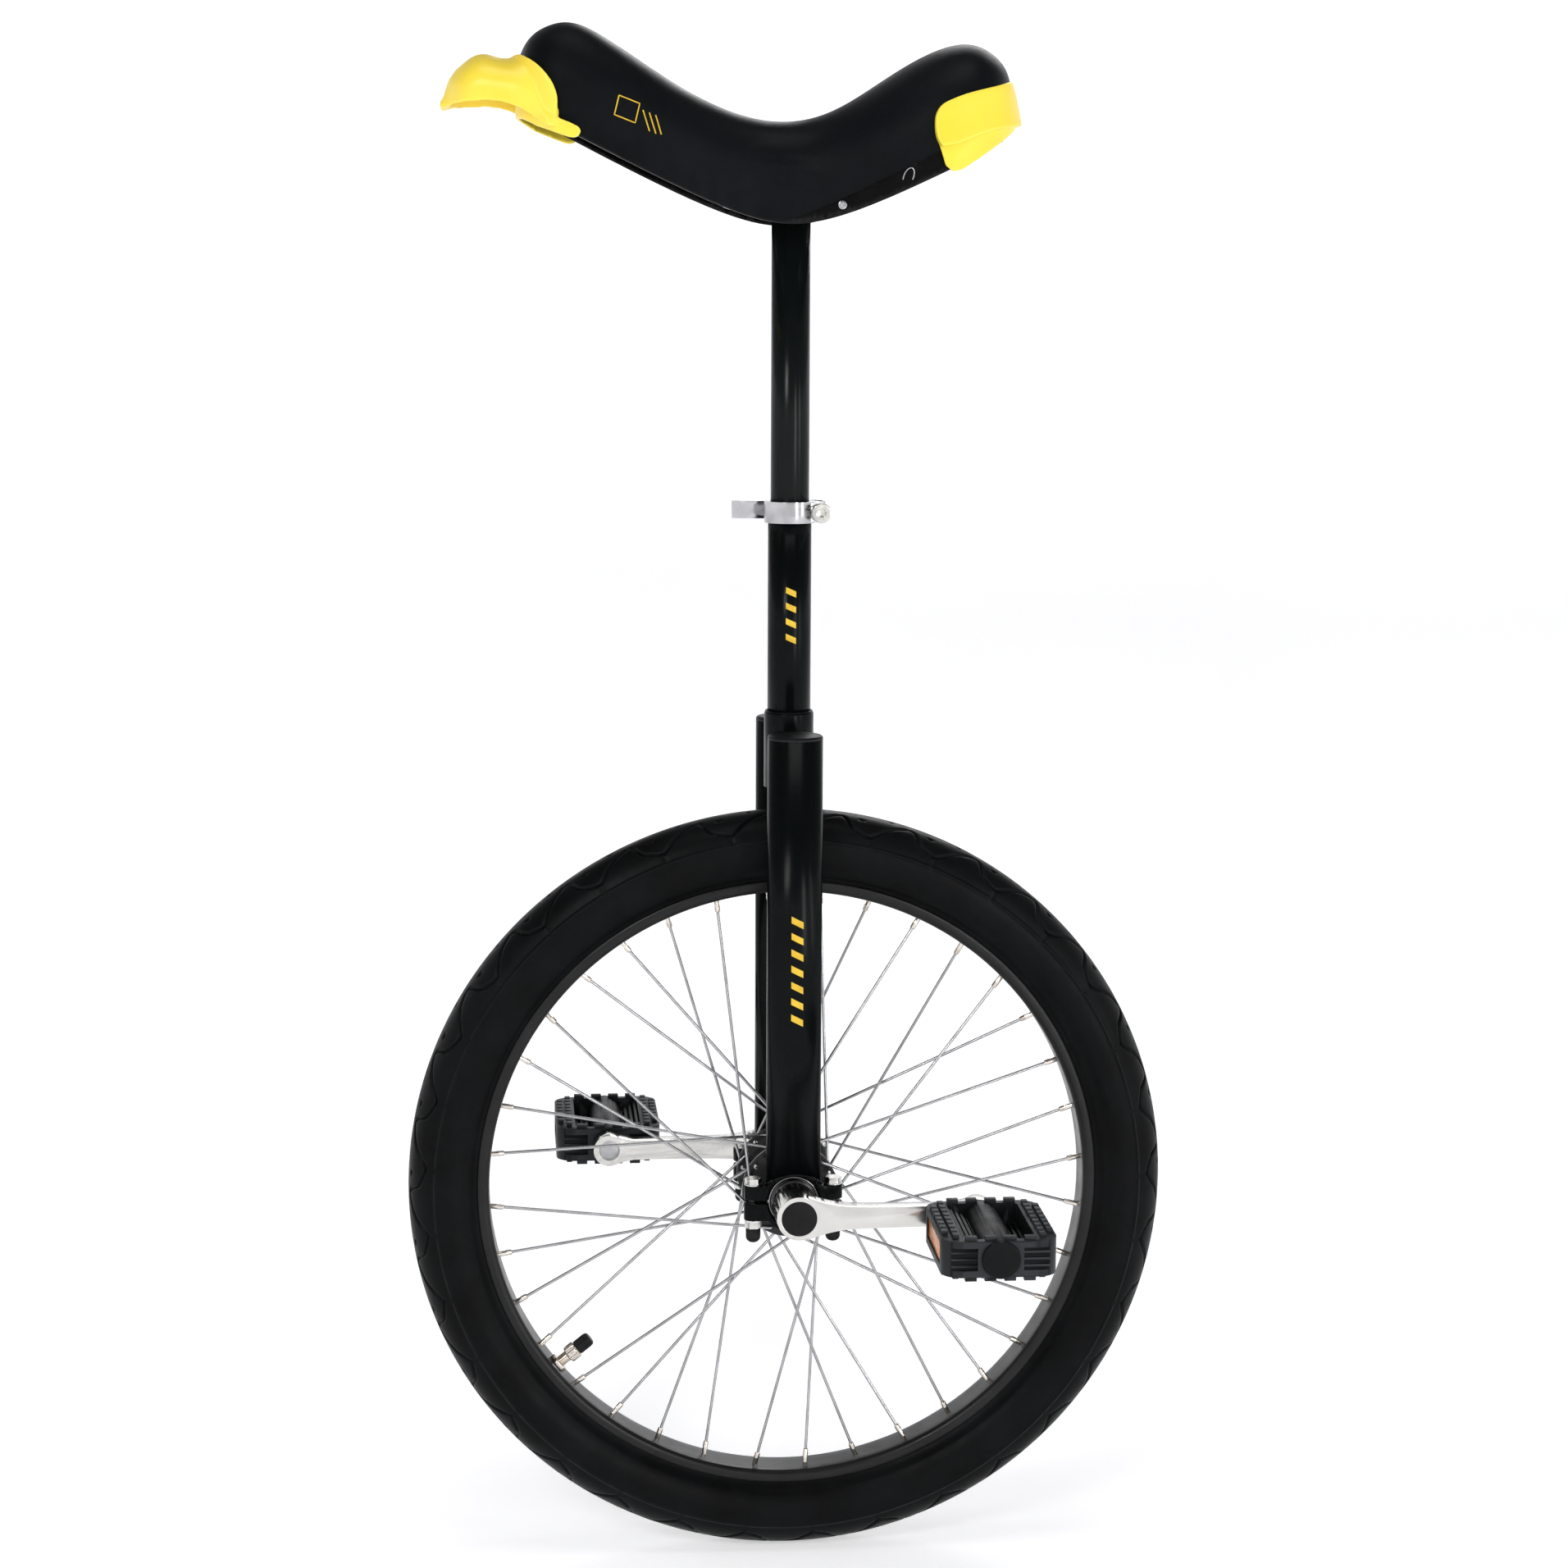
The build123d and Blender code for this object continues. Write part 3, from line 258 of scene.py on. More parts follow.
def strip(rows, count, closed_rows, closed_cols, start=0):
    """Quads over a grid of rows, each with count points."""
    faces = []
    for i in range(rows if closed_rows else rows - 1):
        for j in range(count if closed_cols else count - 1):
            a, b = i * count + j, i * count + (j + 1) % count
            c, d = ((i + 1) % rows) * count + (j + 1) % count, ((i + 1) % rows) * count + j
            faces.append((start + a, start + b, start + c, start + d))
    return faces


def tube(points, radius, sides):
    """Vertices and faces of a round tube along points, closed at both ends."""
    points = [Vector(p) for p in points]
    verts = []
    side = None
    for i, p in enumerate(points):
        ahead = points[min(i + 1, len(points) - 1)] - points[max(i - 1, 0)]
        ahead.normalize()
        if side is None:
            side = ahead.orthogonal().normalized()
        side = (side - ahead * side.dot(ahead)).normalized()
        up = ahead.cross(side)
        for k in range(sides):
            a = 2 * pi * k / sides
            verts.append(p + (side * cos(a) + up * sin(a)) * radius)
    faces = strip(len(points), sides, False, True)
    faces.append(tuple(reversed(range(sides))))
    faces.append(tuple(len(verts) - sides + k for k in range(sides)))
    return verts, faces


def join(parts):
    """One list of vertices and faces from several."""
    verts, faces = [], []
    for vs, fs in parts:
        shift = len(verts)
        verts += list(vs)
        faces += [tuple(i + shift for i in f) for f in fs]
    return verts, faces


def lathe(profile, origin, axis, sides):
    """A turned solid: profile is (radius, distance along axis) from end to end, closed on itself."""
    axis = Vector(axis).normalized()
    side = axis.orthogonal().normalized()
    up = axis.cross(side)
    verts = []
    for r, s in profile:
        for k in range(sides):
            a = 2 * pi * k / sides
            verts.append(Vector(origin) + axis * s + (side * cos(a) + up * sin(a)) * max(r, 1e-5))
    return verts, strip(len(profile), sides, True, True)


def clock(angle, r):
    """A point of the wheel's middle plane, at an angle counted from the rear upwards."""
    return Vector((-r * cos(radians(angle)), 0, AX + r * sin(radians(angle))))


WELD_DISTANCE = 0.000004
FLAT_ANGLE, BEVEL_ANGLE, BEVEL_SEGMENTS = 0.6, 32.0, 2


def dress(name, mat, bevel=0.0):
    """Material for a CAD node, and small rounded edges by modifiers."""
    made = NODES[name]
    made.data.materials.clear()
    made.data.materials.append(MATS[mat])
    weld = made.modifiers.new("weld", "WELD")
    weld.merge_threshold = WELD_DISTANCE
    if bevel:
        flat = made.modifiers.new("flat", "DECIMATE")
        flat.decimate_type = "DISSOLVE"
        flat.angle_limit = radians(FLAT_ANGLE)
        round_off = made.modifiers.new("bevel", "BEVEL")
        round_off.width = bevel
        round_off.segments = BEVEL_SEGMENTS
        round_off.limit_method = "ANGLE"
        round_off.angle_limit = radians(BEVEL_ANGLE)
        round_off.use_clamp_overlap = True
    made.data.polygons.foreach_set("use_smooth", [True] * len(made.data.polygons))
    return made


def moulded(name, mat, voxel, rounds, grow=0.0):
    """A CAD node as a moulding: edges rounded by a fine remesh and smoothing, thin lips kept by a swell."""
    made = dress(name, mat)
    if grow:
        swell = made.modifiers.new("swell", "DISPLACE")
        swell.mid_level = 0.0
        swell.strength = grow
    remesh = made.modifiers.new("remesh", "REMESH")
    remesh.mode = "VOXEL"
    remesh.voxel_size = voxel
    remesh.use_smooth_shade = True
    smooth = made.modifiers.new("smooth", "SMOOTH")
    smooth.factor = 0.5
    smooth.iterations = rounds


# ---- camera, light and floor ------------------------------------------------------
def make_camera():
    """The camera, at the place and angle of the reference view."""
    data = bpy.data.cameras.new("camera")
    data.lens = LENS
    data.sensor_width = SENSOR
    made = bpy.data.objects.new("camera", data)
    bpy.context.scene.collection.objects.link(made)
    eye = Vector(EYE)
    turn = (Vector(AIM) - eye).to_track_quat("-Z", "Y").to_matrix() @ Matrix.Rotation(ROLL, 3, "Z")
    made.matrix_world = Matrix.Translation(eye) @ turn.to_4x4()
    bpy.context.scene.camera = made


def area_light(name, at, aim_height, size, power):
    """A soft box that faces a point of the object's middle line."""
    data = bpy.data.lights.new(name, "AREA")
    data.shape = "RECTANGLE"
    data.size, data.size_y = size
    data.energy = power
    made = bpy.data.objects.new(name, data)
    bpy.context.scene.collection.objects.link(made)
    at = Vector(at)
    turn = (Vector((0, 0, aim_height)) - at).to_track_quat("-Z", "Y").to_matrix()
    made.matrix_world = Matrix.Translation(at) @ turn.to_4x4()


def make_sky():
    """A bright band at the horizon that falls off to a dim top, for reflections with contrast."""
    world = bpy.data.worlds.new("studio_sky")
    bpy.context.scene.world = world
    world.use_nodes = True
    tree = world.node_tree
    sky = tree.nodes["Background"]
    coord = node(tree, "TexCoord")
    split = node(tree, "SeparateXYZ")
    tree.links.new(coord.outputs["Generated"], split.inputs[0])
    stops = [(0.0, grey(0.75)), (0.16, grey(0.90)), (0.42, grey(0.55)), (0.72, grey(0.22)),
             (1.0, grey(0.14))]
    tree.links.new(ramp(tree, split.outputs["Z"], stops), sky.inputs["Color"])
    sky.inputs["Strength"].default_value = 0.6


def make_studio():
    """A white round sweep for a floor, soft boxes, and a graded sky."""
    rings = [(0.02, 0.0), (1.0, 0.0), (2.0, 0.0), (FLOOR_FLAT, 0.0)]
    curve = FLOOR_WALL - FLOOR_FLAT
    for k in range(1, FLOOR_CURVE + 1):
        a = pi / 2 * k / FLOOR_CURVE
        rings.append((FLOOR_FLAT + curve * sin(a), curve * (1 - cos(a))))
    rings.append((FLOOR_WALL, FLOOR_HEIGHT))
    turns = [2 * pi * k / FLOOR_SIDES for k in range(FLOOR_SIDES)]
    verts = [(r * cos(a), r * sin(a), z) for r, z in rings for a in turns]
    faces = strip(len(rings), FLOOR_SIDES, False, True) + [tuple(range(FLOOR_SIDES))]
    mesh = bpy.data.meshes.new("studio_floor")
    mesh.from_pydata(verts, [], faces)
    floor = bpy.data.objects.new("studio_floor", mesh)
    bpy.context.scene.collection.objects.link(floor)
    mat = finish_of("floor_paper", grey(0.88), grey(0.90), (0.75, 0.85), 90, 0.0001, patch=2.0,
                    Specular_IOR_Level=0.1, Emission_Color=(1, 1, 1, 1), Emission_Strength=0.44)
    mesh.materials.append(mat)
    soften(floor, 60)
    make_sky()
    for name, (at, aim_height, size, power) in LIGHTS.items():
        area_light(name, at, aim_height, size, power)
    bpy.context.scene.view_settings.view_transform = "Standard"


# ---- tyre -------------------------------------------------------------------------
REPEATS = 33
REPEAT_LENGTH = 2 * pi * TREAD_RADIUS / REPEATS
TREAD_STEPS = 48
GROOVE_WIDTH, GROOVE_DEPTH = 0.00105, 0.0017
# the wavy groove: share of one repeat, and degrees round the section from the crown
GROOVE = [(0.0, 56.5), (0.09, 50.0), (0.21, 38.2), (0.33, 28.8), (0.45, 21.9), (0.54, 18.0), (0.60, 18.6),
          (0.645, 24.0), (0.675, 32.5), (0.71, 42.5), (0.76, 47.0), (0.83, 50.8), (0.92, 55.0)]


def groove_at(share):
    """Degrees round the section of the groove, at a share of a repeat, smoothly."""
    share = np.asarray(share) % 1.0
    xs = [s for s, _ in GROOVE]
    ys = [v for _, v in GROOVE]
    xs = [xs[-2] - 1, xs[-1] - 1] + xs + [1.0, 1 + xs[1]]
    ys = [ys[-2], ys[-1]] + ys + [ys[0], ys[1]]
    return np.interp(share, xs, ys)


def groove_line():
    """The groove of three repeats as points in metres: along the tread, round the section."""
    shares = np.linspace(-1.0, 2.0, 541)
    smooth = sum(groove_at(shares + d) for d in (-0.012, -0.006, 0.0, 0.006, 0.012)) / 5
    along = shares * REPEAT_LENGTH
    return np.stack([along, np.radians(smooth) * TYRE_SECTION], 1)


def groove_depth(along, around, line):
    """How deep the groove is at points given along the tread and round the section."""
    pts = np.stack([along, around], 1)
    deep = np.zeros(len(pts))
    batch = 4000
    for start in range(0, len(pts), batch):
        part = pts[start:start + batch]
        gap = np.sqrt(((part[:, None, :] - line[None, :, :]) ** 2).sum(2)).min(1)
        deep[start:start + batch] = GROOVE_DEPTH * np.clip(1.35 - gap / GROOVE_WIDTH, 0, 1)
    return deep


def hump(values, middle, width):
    """A smooth hump of height 1 at middle."""
    return np.exp(-((values - middle) / width) ** 2)


def make_tyre():
    """The tyre as one closed skin with its wavy grooves, dimples, shoulder ridges and beads."""
    # degrees round the section at which the skin has its points
    half = list(np.arange(0.0, 60.0, 1.35))
    half += [61, 63, 65, 67, 69, 70.5, 72, 73.2, 74.4, 75.6, 76.8, 78.2, 80, 83, 87, 91, 96, 101, 106, 111,
             116, 121, 126, 130.5]
    around = np.array([-a for a in reversed(half[1:])] + half)
    shares = np.arange(TREAD_STEPS) / TREAD_STEPS
    grid_s, grid_a = np.meshgrid(shares, around, indexing="ij")
    side_angle = np.abs(grid_a)
    # the right half runs the other way round, half a repeat further on
    phase = np.where(grid_a >= 0, grid_s, (0.5 - grid_s) % 1.0)
    dig = groove_depth((phase * REPEAT_LENGTH).ravel(), (np.radians(side_angle) * TYRE_SECTION).ravel(),
                       groove_line()).reshape(grid_s.shape)
    # two small dimples between the waves, near the crown
    for share, angle, size in ((0.87, 23.0, 0.0017), (0.30, 8.0, 0.0012)):
        du = ((phase - share + 0.5) % 1.0 - 0.5) * REPEAT_LENGTH
        dv = (np.radians(side_angle - angle)) * TYRE_SECTION
        gap = np.sqrt((du / 1.5) ** 2 + dv ** 2)
        dig = np.maximum(dig, 0.0013 * np.clip(1.5 - gap / size * 1.5, 0, 1))
    # shoulder ridge with a notch at each dip of the wave
    notch = hump(((phase + 0.5) % 1.0 - 0.5) * REPEAT_LENGTH, 0, 0.0013)
    ridge = 0.0009 * hump(side_angle, 73.5, 2.0) * (1 - 0.9 * notch)
    dig += 0.0004 * notch * hump(side_angle, 65, 7.0)
    # a fine mould line on the sidewall, and a bead line near the rim
    ridge += 0.00022 * hump(side_angle, 93.0, 0.9) + 0.0003 * hump(side_angle, 119.0, 1.2)
    radius = TYRE_SECTION - dig + ridge
    section_y = radius * np.sin(np.radians(grid_a))
    section_r = TYRE_CENTRE + radius * np.cos(np.radians(grid_a))
    # beads and inside, as (distance from the middle plane, radius)
    bead = [(0.0160, 0.2120), (0.0146, 0.2090), (0.0134, 0.2072), (0.0132, 0.2042), (0.0118, 0.2034),
            (0.0098, 0.2036), (0.0097, 0.2082), (0.0125, 0.2124)]
    inner = [(CASING * sin(radians(a)), TYRE_CENTRE + CASING * cos(radians(a))) for a in range(130, 0, -12)]
    left = bead + inner
    tail = left + [(-y, r) for y, r in reversed(left)]
    count = len(around) + len(tail)
    steps = REPEATS * TREAD_STEPS
    verts = np.zeros((steps, count, 3))
    for i in range(steps):
        k = i % TREAD_STEPS
        turn = radians(TREAD_START) - 2 * pi * i / steps
        ys = np.concatenate([section_y[k], [y for y, _ in tail]])
        rs = np.concatenate([section_r[k], [r for _, r in tail]])
        verts[i, :, 0] = -rs * cos(turn)
        verts[i, :, 1] = ys
        verts[i, :, 2] = AX + rs * sin(turn)
    faces = strip(steps, count, True, True)
    piece("tyre_tread", verts.reshape(-1, 3), faces, "tyre_rubber", "wheel", 50, ("tyre",))


# ---- rim, spokes, nipples and valve -------------------------------------------------
def make_rim():
    """Rim turned from its section, with rounded lips."""
    half = [(0.0, 200.5), (6.0, 200.5), (11.2, 200.5), (12.6, 200.7), (13.8, 201.3), (14.8, 202.4),
            (15.3, 203.8), (15.4, 205.0), (15.4, 206.9), (15.2, 207.8), (14.9, 208.3), (14.4, 208.4),
            (14.1, 208.0), (13.95, 207.0), (13.9, 204.0), (13.2, 203.1), (8.6, 203.1), (7.4, 202.0),
            (0.0, 202.0)]
    loop = half + [(-y, r) for y, r in reversed(half[1:-1])]
    steps = 432
    verts = []
    for i in range(steps):
        a = 2 * pi * i / steps
        verts += [(-r * MM * cos(a), y * MM, AX + r * MM * sin(a)) for y, r in loop]
    piece("rim_ring", verts, strip(steps, len(loop), True, True), "rim_black", "wheel", 35, ("rim",))


def spoke_line(k):
    """Elbow and rim end of spoke k, the side its elbow faces, and its flange's side."""
    side = 1 if k % 2 == 0 else -1
    angle = FIRST_NIPPLE - 360 / SPOKES * k
    leading = k % 4 in (0, 3)
    outward = 1 if leading else -1
    elbow = clock(angle + outward * CROSSING, HOLE_RADIUS)
    # the leading spokes lie a little further out, so that they pass over the others
    clear = SPOKE_RADIUS + (0.0012 if leading else 0.0)
    elbow.y = side * (FLANGE_Y + outward * (FLANGE_HALF + clear))
    end = clock(angle, RIM_END)
    end.y = side * 0.0015
    return elbow, end, side * outward, side


def make_spokes():
    """Spokes, each one wire from its head through the elbow to the nipple."""
    parts = []
    for k in range(SPOKES):
        elbow, end, facing, side = spoke_line(k)
        run = (end - elbow).normalized()
        inward = Vector((0, -facing, 0))
        head = Vector((elbow.x, side * FLANGE_Y - facing * FLANGE_HALF, elbow.z))
        bend = [head, elbow + inward * SPOKE_BEND]
        for t in (0.25, 0.5, 0.75):
            bend.append(elbow + inward * SPOKE_BEND * (1 - t) ** 2 + run * SPOKE_BEND * t ** 2)
        bend.append(elbow + run * SPOKE_BEND)
        bend += [elbow + (end - elbow) * t for t in (0.2, 0.5, 0.8)] + [end - run * 0.0005]
        parts.append(tube(bend, SPOKE_RADIUS, 12))
        cap = [(0.0, 0.0), (0.0018, 0.0), (0.0018, 0.0004), (0.0014, 0.0008), (0.0, 0.0009)]
        parts.append(lathe(cap, head, inward, 14))
    verts, faces = join(parts)
    piece("spoke_wires", verts, faces, "spoke_steel", "wheel", 60, ("spokes",))


def make_nipples():
    """Turned nipples with two flats and a mouth where the wire goes in."""
    # radius and distance from the mouth, millimetres; the flats are where the wrench goes
    profile = [(1.02, 0.0), (1.45, 0.05), (1.75, 0.35), (1.85, 0.8), (1.9, 3.4), (2.0, 3.9), (2.0, 4.1),
               (2.0, 9.0), (2.1, 11.1), (2.9, 11.25), (2.9, 11.8), (1.02, 11.9)]
    flats_from, flats_to, half_across, sides = 4.0, 9.2, 1.62, 16
    parts = []
    for k in range(SPOKES):
        elbow, end, _, _ = spoke_line(k)
        run = (end - elbow).normalized()
        start = end - run * NIPPLE_REACH
        across = run.cross(Vector((0, 1, 0))).normalized()
        up = run.cross(across)
        verts = []
        for r, s in profile:
            flat = half_across if flats_from <= s <= flats_to else r
            for j in range(sides):
                a = 2 * pi * j / sides
                u, v = r * cos(a), r * sin(a)
                verts.append(start + run * s * MM + (across * max(-flat, min(flat, u)) + up * v) * MM)
        parts.append((verts, strip(len(profile), sides, True, True)))
    verts, faces = join(parts)
    piece("nipple_set", verts, faces, "nickel_brass", "wheel", 35, ("nipples",))


def valve_lathe(profile, sides):
    """A turned piece on the valve's own line: (radius, distance from the axle), millimetres."""
    out = (clock(VALVE_ANGLE, 1.0) - clock(VALVE_ANGLE, 0.0)).normalized()
    return lathe([(r * MM, s * MM) for r, s in profile], clock(VALVE_ANGLE, 0), out, sides)


def knurl(verts, sides, first, last, every, chosen, share):
    """Ridges for the fingers: some points of rows first to last drawn in to a share of their radius."""
    centre = clock(VALVE_ANGLE, 0)
    out = (clock(VALVE_ANGLE, 1.0) - centre).normalized()
    for i, v in enumerate(verts):
        if first <= i // sides <= last and i % every == chosen:
            foot = centre + out * (v - centre).dot(out)
            verts[i] = foot + (v - foot) * share


def make_valve():
    """Threaded valve stem, knurled nut and dust cap."""
    threads = []
    s, pitch = 176.2, 0.8
    while s < 203.0:
        threads += [(3.65, s), (4.0, s + 0.28), (4.0, s + 0.42)]
        s += pitch
    foot = [(4.0, 203.2), (4.0, 207.4), (7.5, 207.4), (7.5, 208.8), (1.4, 208.8)]
    verts, faces = valve_lathe([(1.4, 176.0), (3.2, 176.0)] + threads + foot, 40)
    piece("valve_thread", verts, faces, "nickel_brass", "wheel", 30, ("valve_stem",))
    sides = 48
    nut = [(4.0, 183.0), (5.2, 183.0), (5.7, 183.5), (5.9, 184.4), (5.9, 189.2), (5.6, 190.0), (5.0, 190.5),
           (4.0, 190.5)]
    verts, faces = valve_lathe(nut, sides)
    knurl(verts, sides, 2, 5, 2, 1, 0.945)
    piece("valve_knurl", verts, faces, "nickel_brass", "wheel", 20, ("valve_union_nut",))
    cap = [(4.05, 175.6), (4.05, 182.6), (4.6, 182.6), (4.9, 182.2), (4.9, 174.6), (4.6, 172.6), (3.6, 171.6),
           (2.0, 171.4), (0.0, 171.4), (0.0, 175.6)]
    verts, faces = valve_lathe(cap, sides)
    knurl(verts, sides, 3, 5, 3, 0, 0.93)
    piece("valve_dust_cap", verts, faces, "cap_plastic", "valve_cap", 20, ("valve_cap",))


# ---- saddle -------------------------------------------------------------------------
# x, half width, lowest and highest point above the axle, millimetres
STATIONS = [
    (-139.6, 14, 702, 724), (-138.2, 31, 693, 731), (-134.6, 47, 683, 739), (-127.0, 61, 671, 746.6),
    (-111.0, 74, 652, 752.4), (-85.0, 75, 640, 745), (-55.0, 66, 628, 727), (-20.0, 52, 616, 707.6),
    (10.0, 46, 612, 703), (45.0, 46, 618, 711), (85.0, 49, 636, 732), (120.0, 50, 654, 754.4),
    (145.0, 48, 668, 763.8), (158.0, 44, 677, 760.8), (166.5, 37, 687, 755.4), (172.0, 28, 698, 748.2),
    (174.8, 18, 708, 741), (175.8, 11, 714, 736),
]


def spline(xs, ys, at):
    """A natural cubic through the points, read at the places given."""
    n = len(xs)
    h = np.diff(xs)
    a = np.eye(n)
    b = np.zeros(n)
    for i in range(1, n - 1):
        a[i, i - 1:i + 2] = h[i - 1], 2 * (h[i - 1] + h[i]), h[i]
        b[i] = 6 * ((ys[i + 1] - ys[i]) / h[i] - (ys[i] - ys[i - 1]) / h[i - 1])
    m = np.linalg.solve(a, b)
    at = np.asarray(at, float)
    i = np.clip(np.searchsorted(xs, at) - 1, 0, n - 2)
    t = at - np.asarray(xs)[i]
    hi = h[i]
    slope = (np.asarray(ys)[i + 1] - np.asarray(ys)[i]) / hi - hi * (2 * m[i] + m[i + 1]) / 6
    return np.asarray(ys)[i] + t * (slope + t * (m[i] / 2 + t * (m[i + 1] - m[i]) / (6 * hi)))


def belly(x):
    """Height of the saddle's underside."""
    return AX_MM + 637.5 + sqrt(22.0 ** 2 + (0.53 * (x - 2.0)) ** 2) - 22.0


def cover_hem(x):
    """Height of the cover's hem, which leaves a strip of the base bare towards the rear."""
    return belly(x) + 1.0 + (15.0 * (1 - exp((x - 8) / 35)) if x < 8 else 0.0)


def saddle_rows(count):
    """Rows of the saddle from rear to front, domed at both ends: x, half width, lowest, highest."""
    stations = np.array(STATIONS)
    step = np.hypot(np.diff(stations[:, 0]), np.diff(stations[:, 1]))
    run = np.concatenate([[0.0], np.cumsum(step)])
    rows = np.stack([spline(run, stations[:, c], np.linspace(0, run[-1], count)) for c in range(4)], 1)

    def dome(row, way):
        caps = []
        for share in (0.9, 0.72, 0.5, 0.26):
            mid, tall = (row[2] + row[3]) / 2, (row[3] - row[2]) / 2 * share
            caps.append([row[0] + way * 0.5 * (1 - share ** 2), row[1] * share, mid - tall, mid + tall])
        return caps

    return np.array(dome(rows[0], -1)[::-1] + rows.tolist() + dome(rows[-1], 1))


def cover_grid():
    """Points of the cover's outside, row by row: a taut crowned skin over the foam, down to its hem."""
    rows = saddle_rows(COVER_ROWS)
    points = []
    for x, half, low, high in rows:
        low, high = low + AX_MM, high + AX_MM
        mid, tall = (low + high) / 2, (high - low) / 2
        hem = max(cover_hem(x), low + 0.05 * tall)
        reach = max(-1.0, min(0.98, (hem - mid) / tall))
        first = np.arcsin(np.sign(reach) * abs(reach) ** (1 / COVER_POWER))
        for j in range(COVER_ACROSS + 1):
            a = first + (pi - 2 * first) * j / COVER_ACROSS
            c, s = cos(a), sin(a)
            y = half * abs(c) ** COVER_POWER * (1 if c >= 0 else -1)
            z = mid + tall * abs(s) ** COVER_POWER * (1 if s >= 0 else -1)
            points.append(sculpt(x, y, z, half, hem))
    return np.array(points).reshape(len(rows), COVER_ACROSS + 1, 3)


# creases across each flank in the dip: x, height above the axle, length, width, slope and depth, millimetres
CREASES = [(9.0, 678.0, 14.0, 1.6, 0.10, 0.9), (-3.0, 668.0, 20.0, 2.4, 0.22, 0.5),
           (22.0, 690.0, 12.0, 2.0, -0.15, 0.35)]


def sculpt(x, y, z, half, hem):
    """Moves a point of the cover for its creases and the puckers along its hem, in millimetres."""
    side = abs(y) / max(half, 1.0)
    # puckers where the skin is pulled down to its staples
    near_hem = exp(-((z - hem) / 11.0) ** 2)
    move = 0.35 * near_hem * sin(x * 0.42 + 1.1 * sin(x * 0.11))
    if side > 0.5:
        for cx, cz, along, high, slope, deep in CREASES:
            u, v = x - cx, z - AX_MM - cz - slope * (x - cx)
            move -= deep * exp(-(u / along) ** 2 - (v / high) ** 2)
    return (x, y + (move if y > 0 else -move) * min(1.0, side * 1.4), z)


def make_cover():
    """The vinyl cover, a thin closed skin that stands for the CAD's solid."""
    outer = cover_grid()
    rows, count = outer.shape[:2]
    normal = np.cross(np.gradient(outer, axis=0), np.gradient(outer, axis=1))
    normal /= np.maximum(np.linalg.norm(normal, axis=2, keepdims=True), 1e-9)
    middle = np.array([0, 0, AX_MM + 690.0])
    if ((outer - middle) * normal).sum() < 0:
        normal = -normal
    inner = outer - normal * COVER_THICK
    # each row is a closed loop: over the outside, and back under the inside
    loops = np.concatenate([outer, inner[:, ::-1]], axis=1).reshape(-1, 3)
    verts = [Vector(v) * MM for v in loops]
    ring = 2 * count
    faces = strip(rows, ring, False, True)
    for base in (0, (rows - 1) * ring):
        for j in range(count - 1):
            quad = (base + j, base + j + 1, base + ring - 2 - j, base + ring - 1 - j)
            faces.append(quad if base == 0 else tuple(reversed(quad)))
    # the flat middle of each domed end
    faces += [tuple(base + j for j in range(count)) for base in (0, (rows - 1) * ring)]
    made = piece("saddle_skin", verts, faces, "vinyl_cover", "saddle", 60, ("saddle_cover",))


def skin_half(x, z):
    """Half width of the saddle's skin at a place along it and a height above the axle, millimetres."""
    stations = np.array(STATIONS)
    half, low, high = [float(np.interp(x, stations[:, 0], stations[:, c])) for c in (1, 2, 3)]
    part = abs(z - (low + high) / 2) / ((high - low) / 2)
    return half * sqrt(max(0.0, 1 - min(1.0, part) ** (2 / COVER_POWER))) ** COVER_POWER


# ---- welds, accents and small fittings ------------------------------------------------
def weld_bead(points, radius):
    """A closed rippled bead of weld metal along points given in millimetres."""
    count, sides = len(points), 10
    points = [Vector(p) * MM for p in points]
    verts = []
    for i, p in enumerate(points):
        ahead = (points[(i + 1) % count] - points[i - 1]).normalized()
        side = ahead.orthogonal().normalized()
        up = ahead.cross(side)
        size = radius * MM * (1 + 0.16 * cos(2 * pi * i / 3))
        turns = [2 * pi * k / sides for k in range(sides)]
        verts += [p + (side * cos(a) + up * sin(a)) * size for a in turns]
    return verts, strip(count, sides, True, True)


def ring_points(radius, z, count):
    """A level ring round the middle line, millimetres."""
    return [(radius * cos(2 * pi * k / count), radius * sin(2 * pi * k / count), z) for k in range(count)]


def leg_foot_points(side):
    """Where a leg's coped foot meets the round bearing holder."""
    reach, holder, count = 18.2, 21.4, 96
    points = []
    for k in range(count):
        a = 2 * pi * k / count
        x, y = reach * cos(a), reach * sin(a)
        points.append((x, side * LEG_Y + y, AX_MM + sqrt(holder ** 2 - x * x)))
    return points


CROWN_HEIGHT = 289.0              # the crown's middle above the axle, millimetres


def bridge_points(side, radius, centre, facing):
    """Where the crown's box section meets a round tube at a distance centre from the middle."""
    half_x, half_z, corner, per, step = 12.1, 18.1, 5.0, 7, 1.1
    spots = []
    for cx, cz, start in ((1, 1, 0), (-1, 1, 90), (-1, -1, 180), (1, -1, 270)):
        for k in range(per + 1):
            a = radians(start + 90 * k / per)
            spots.append((cx * (half_x - corner) + corner * cos(a), cz * (half_z - corner) + corner * sin(a)))
    points = []
    for (x0, z0), (x1, z1) in zip(spots, spots[1:] + spots[:1]):
        steps = max(1, int(sqrt((x1 - x0) ** 2 + (z1 - z0) ** 2) / step))
        for k in range(steps):
            x, z = x0 + (x1 - x0) * k / steps, z0 + (z1 - z0) * k / steps
            y = side * (centre + facing * sqrt(radius ** 2 - x * x))
            points.append((x, y, AX_MM + CROWN_HEIGHT + z))
    return points


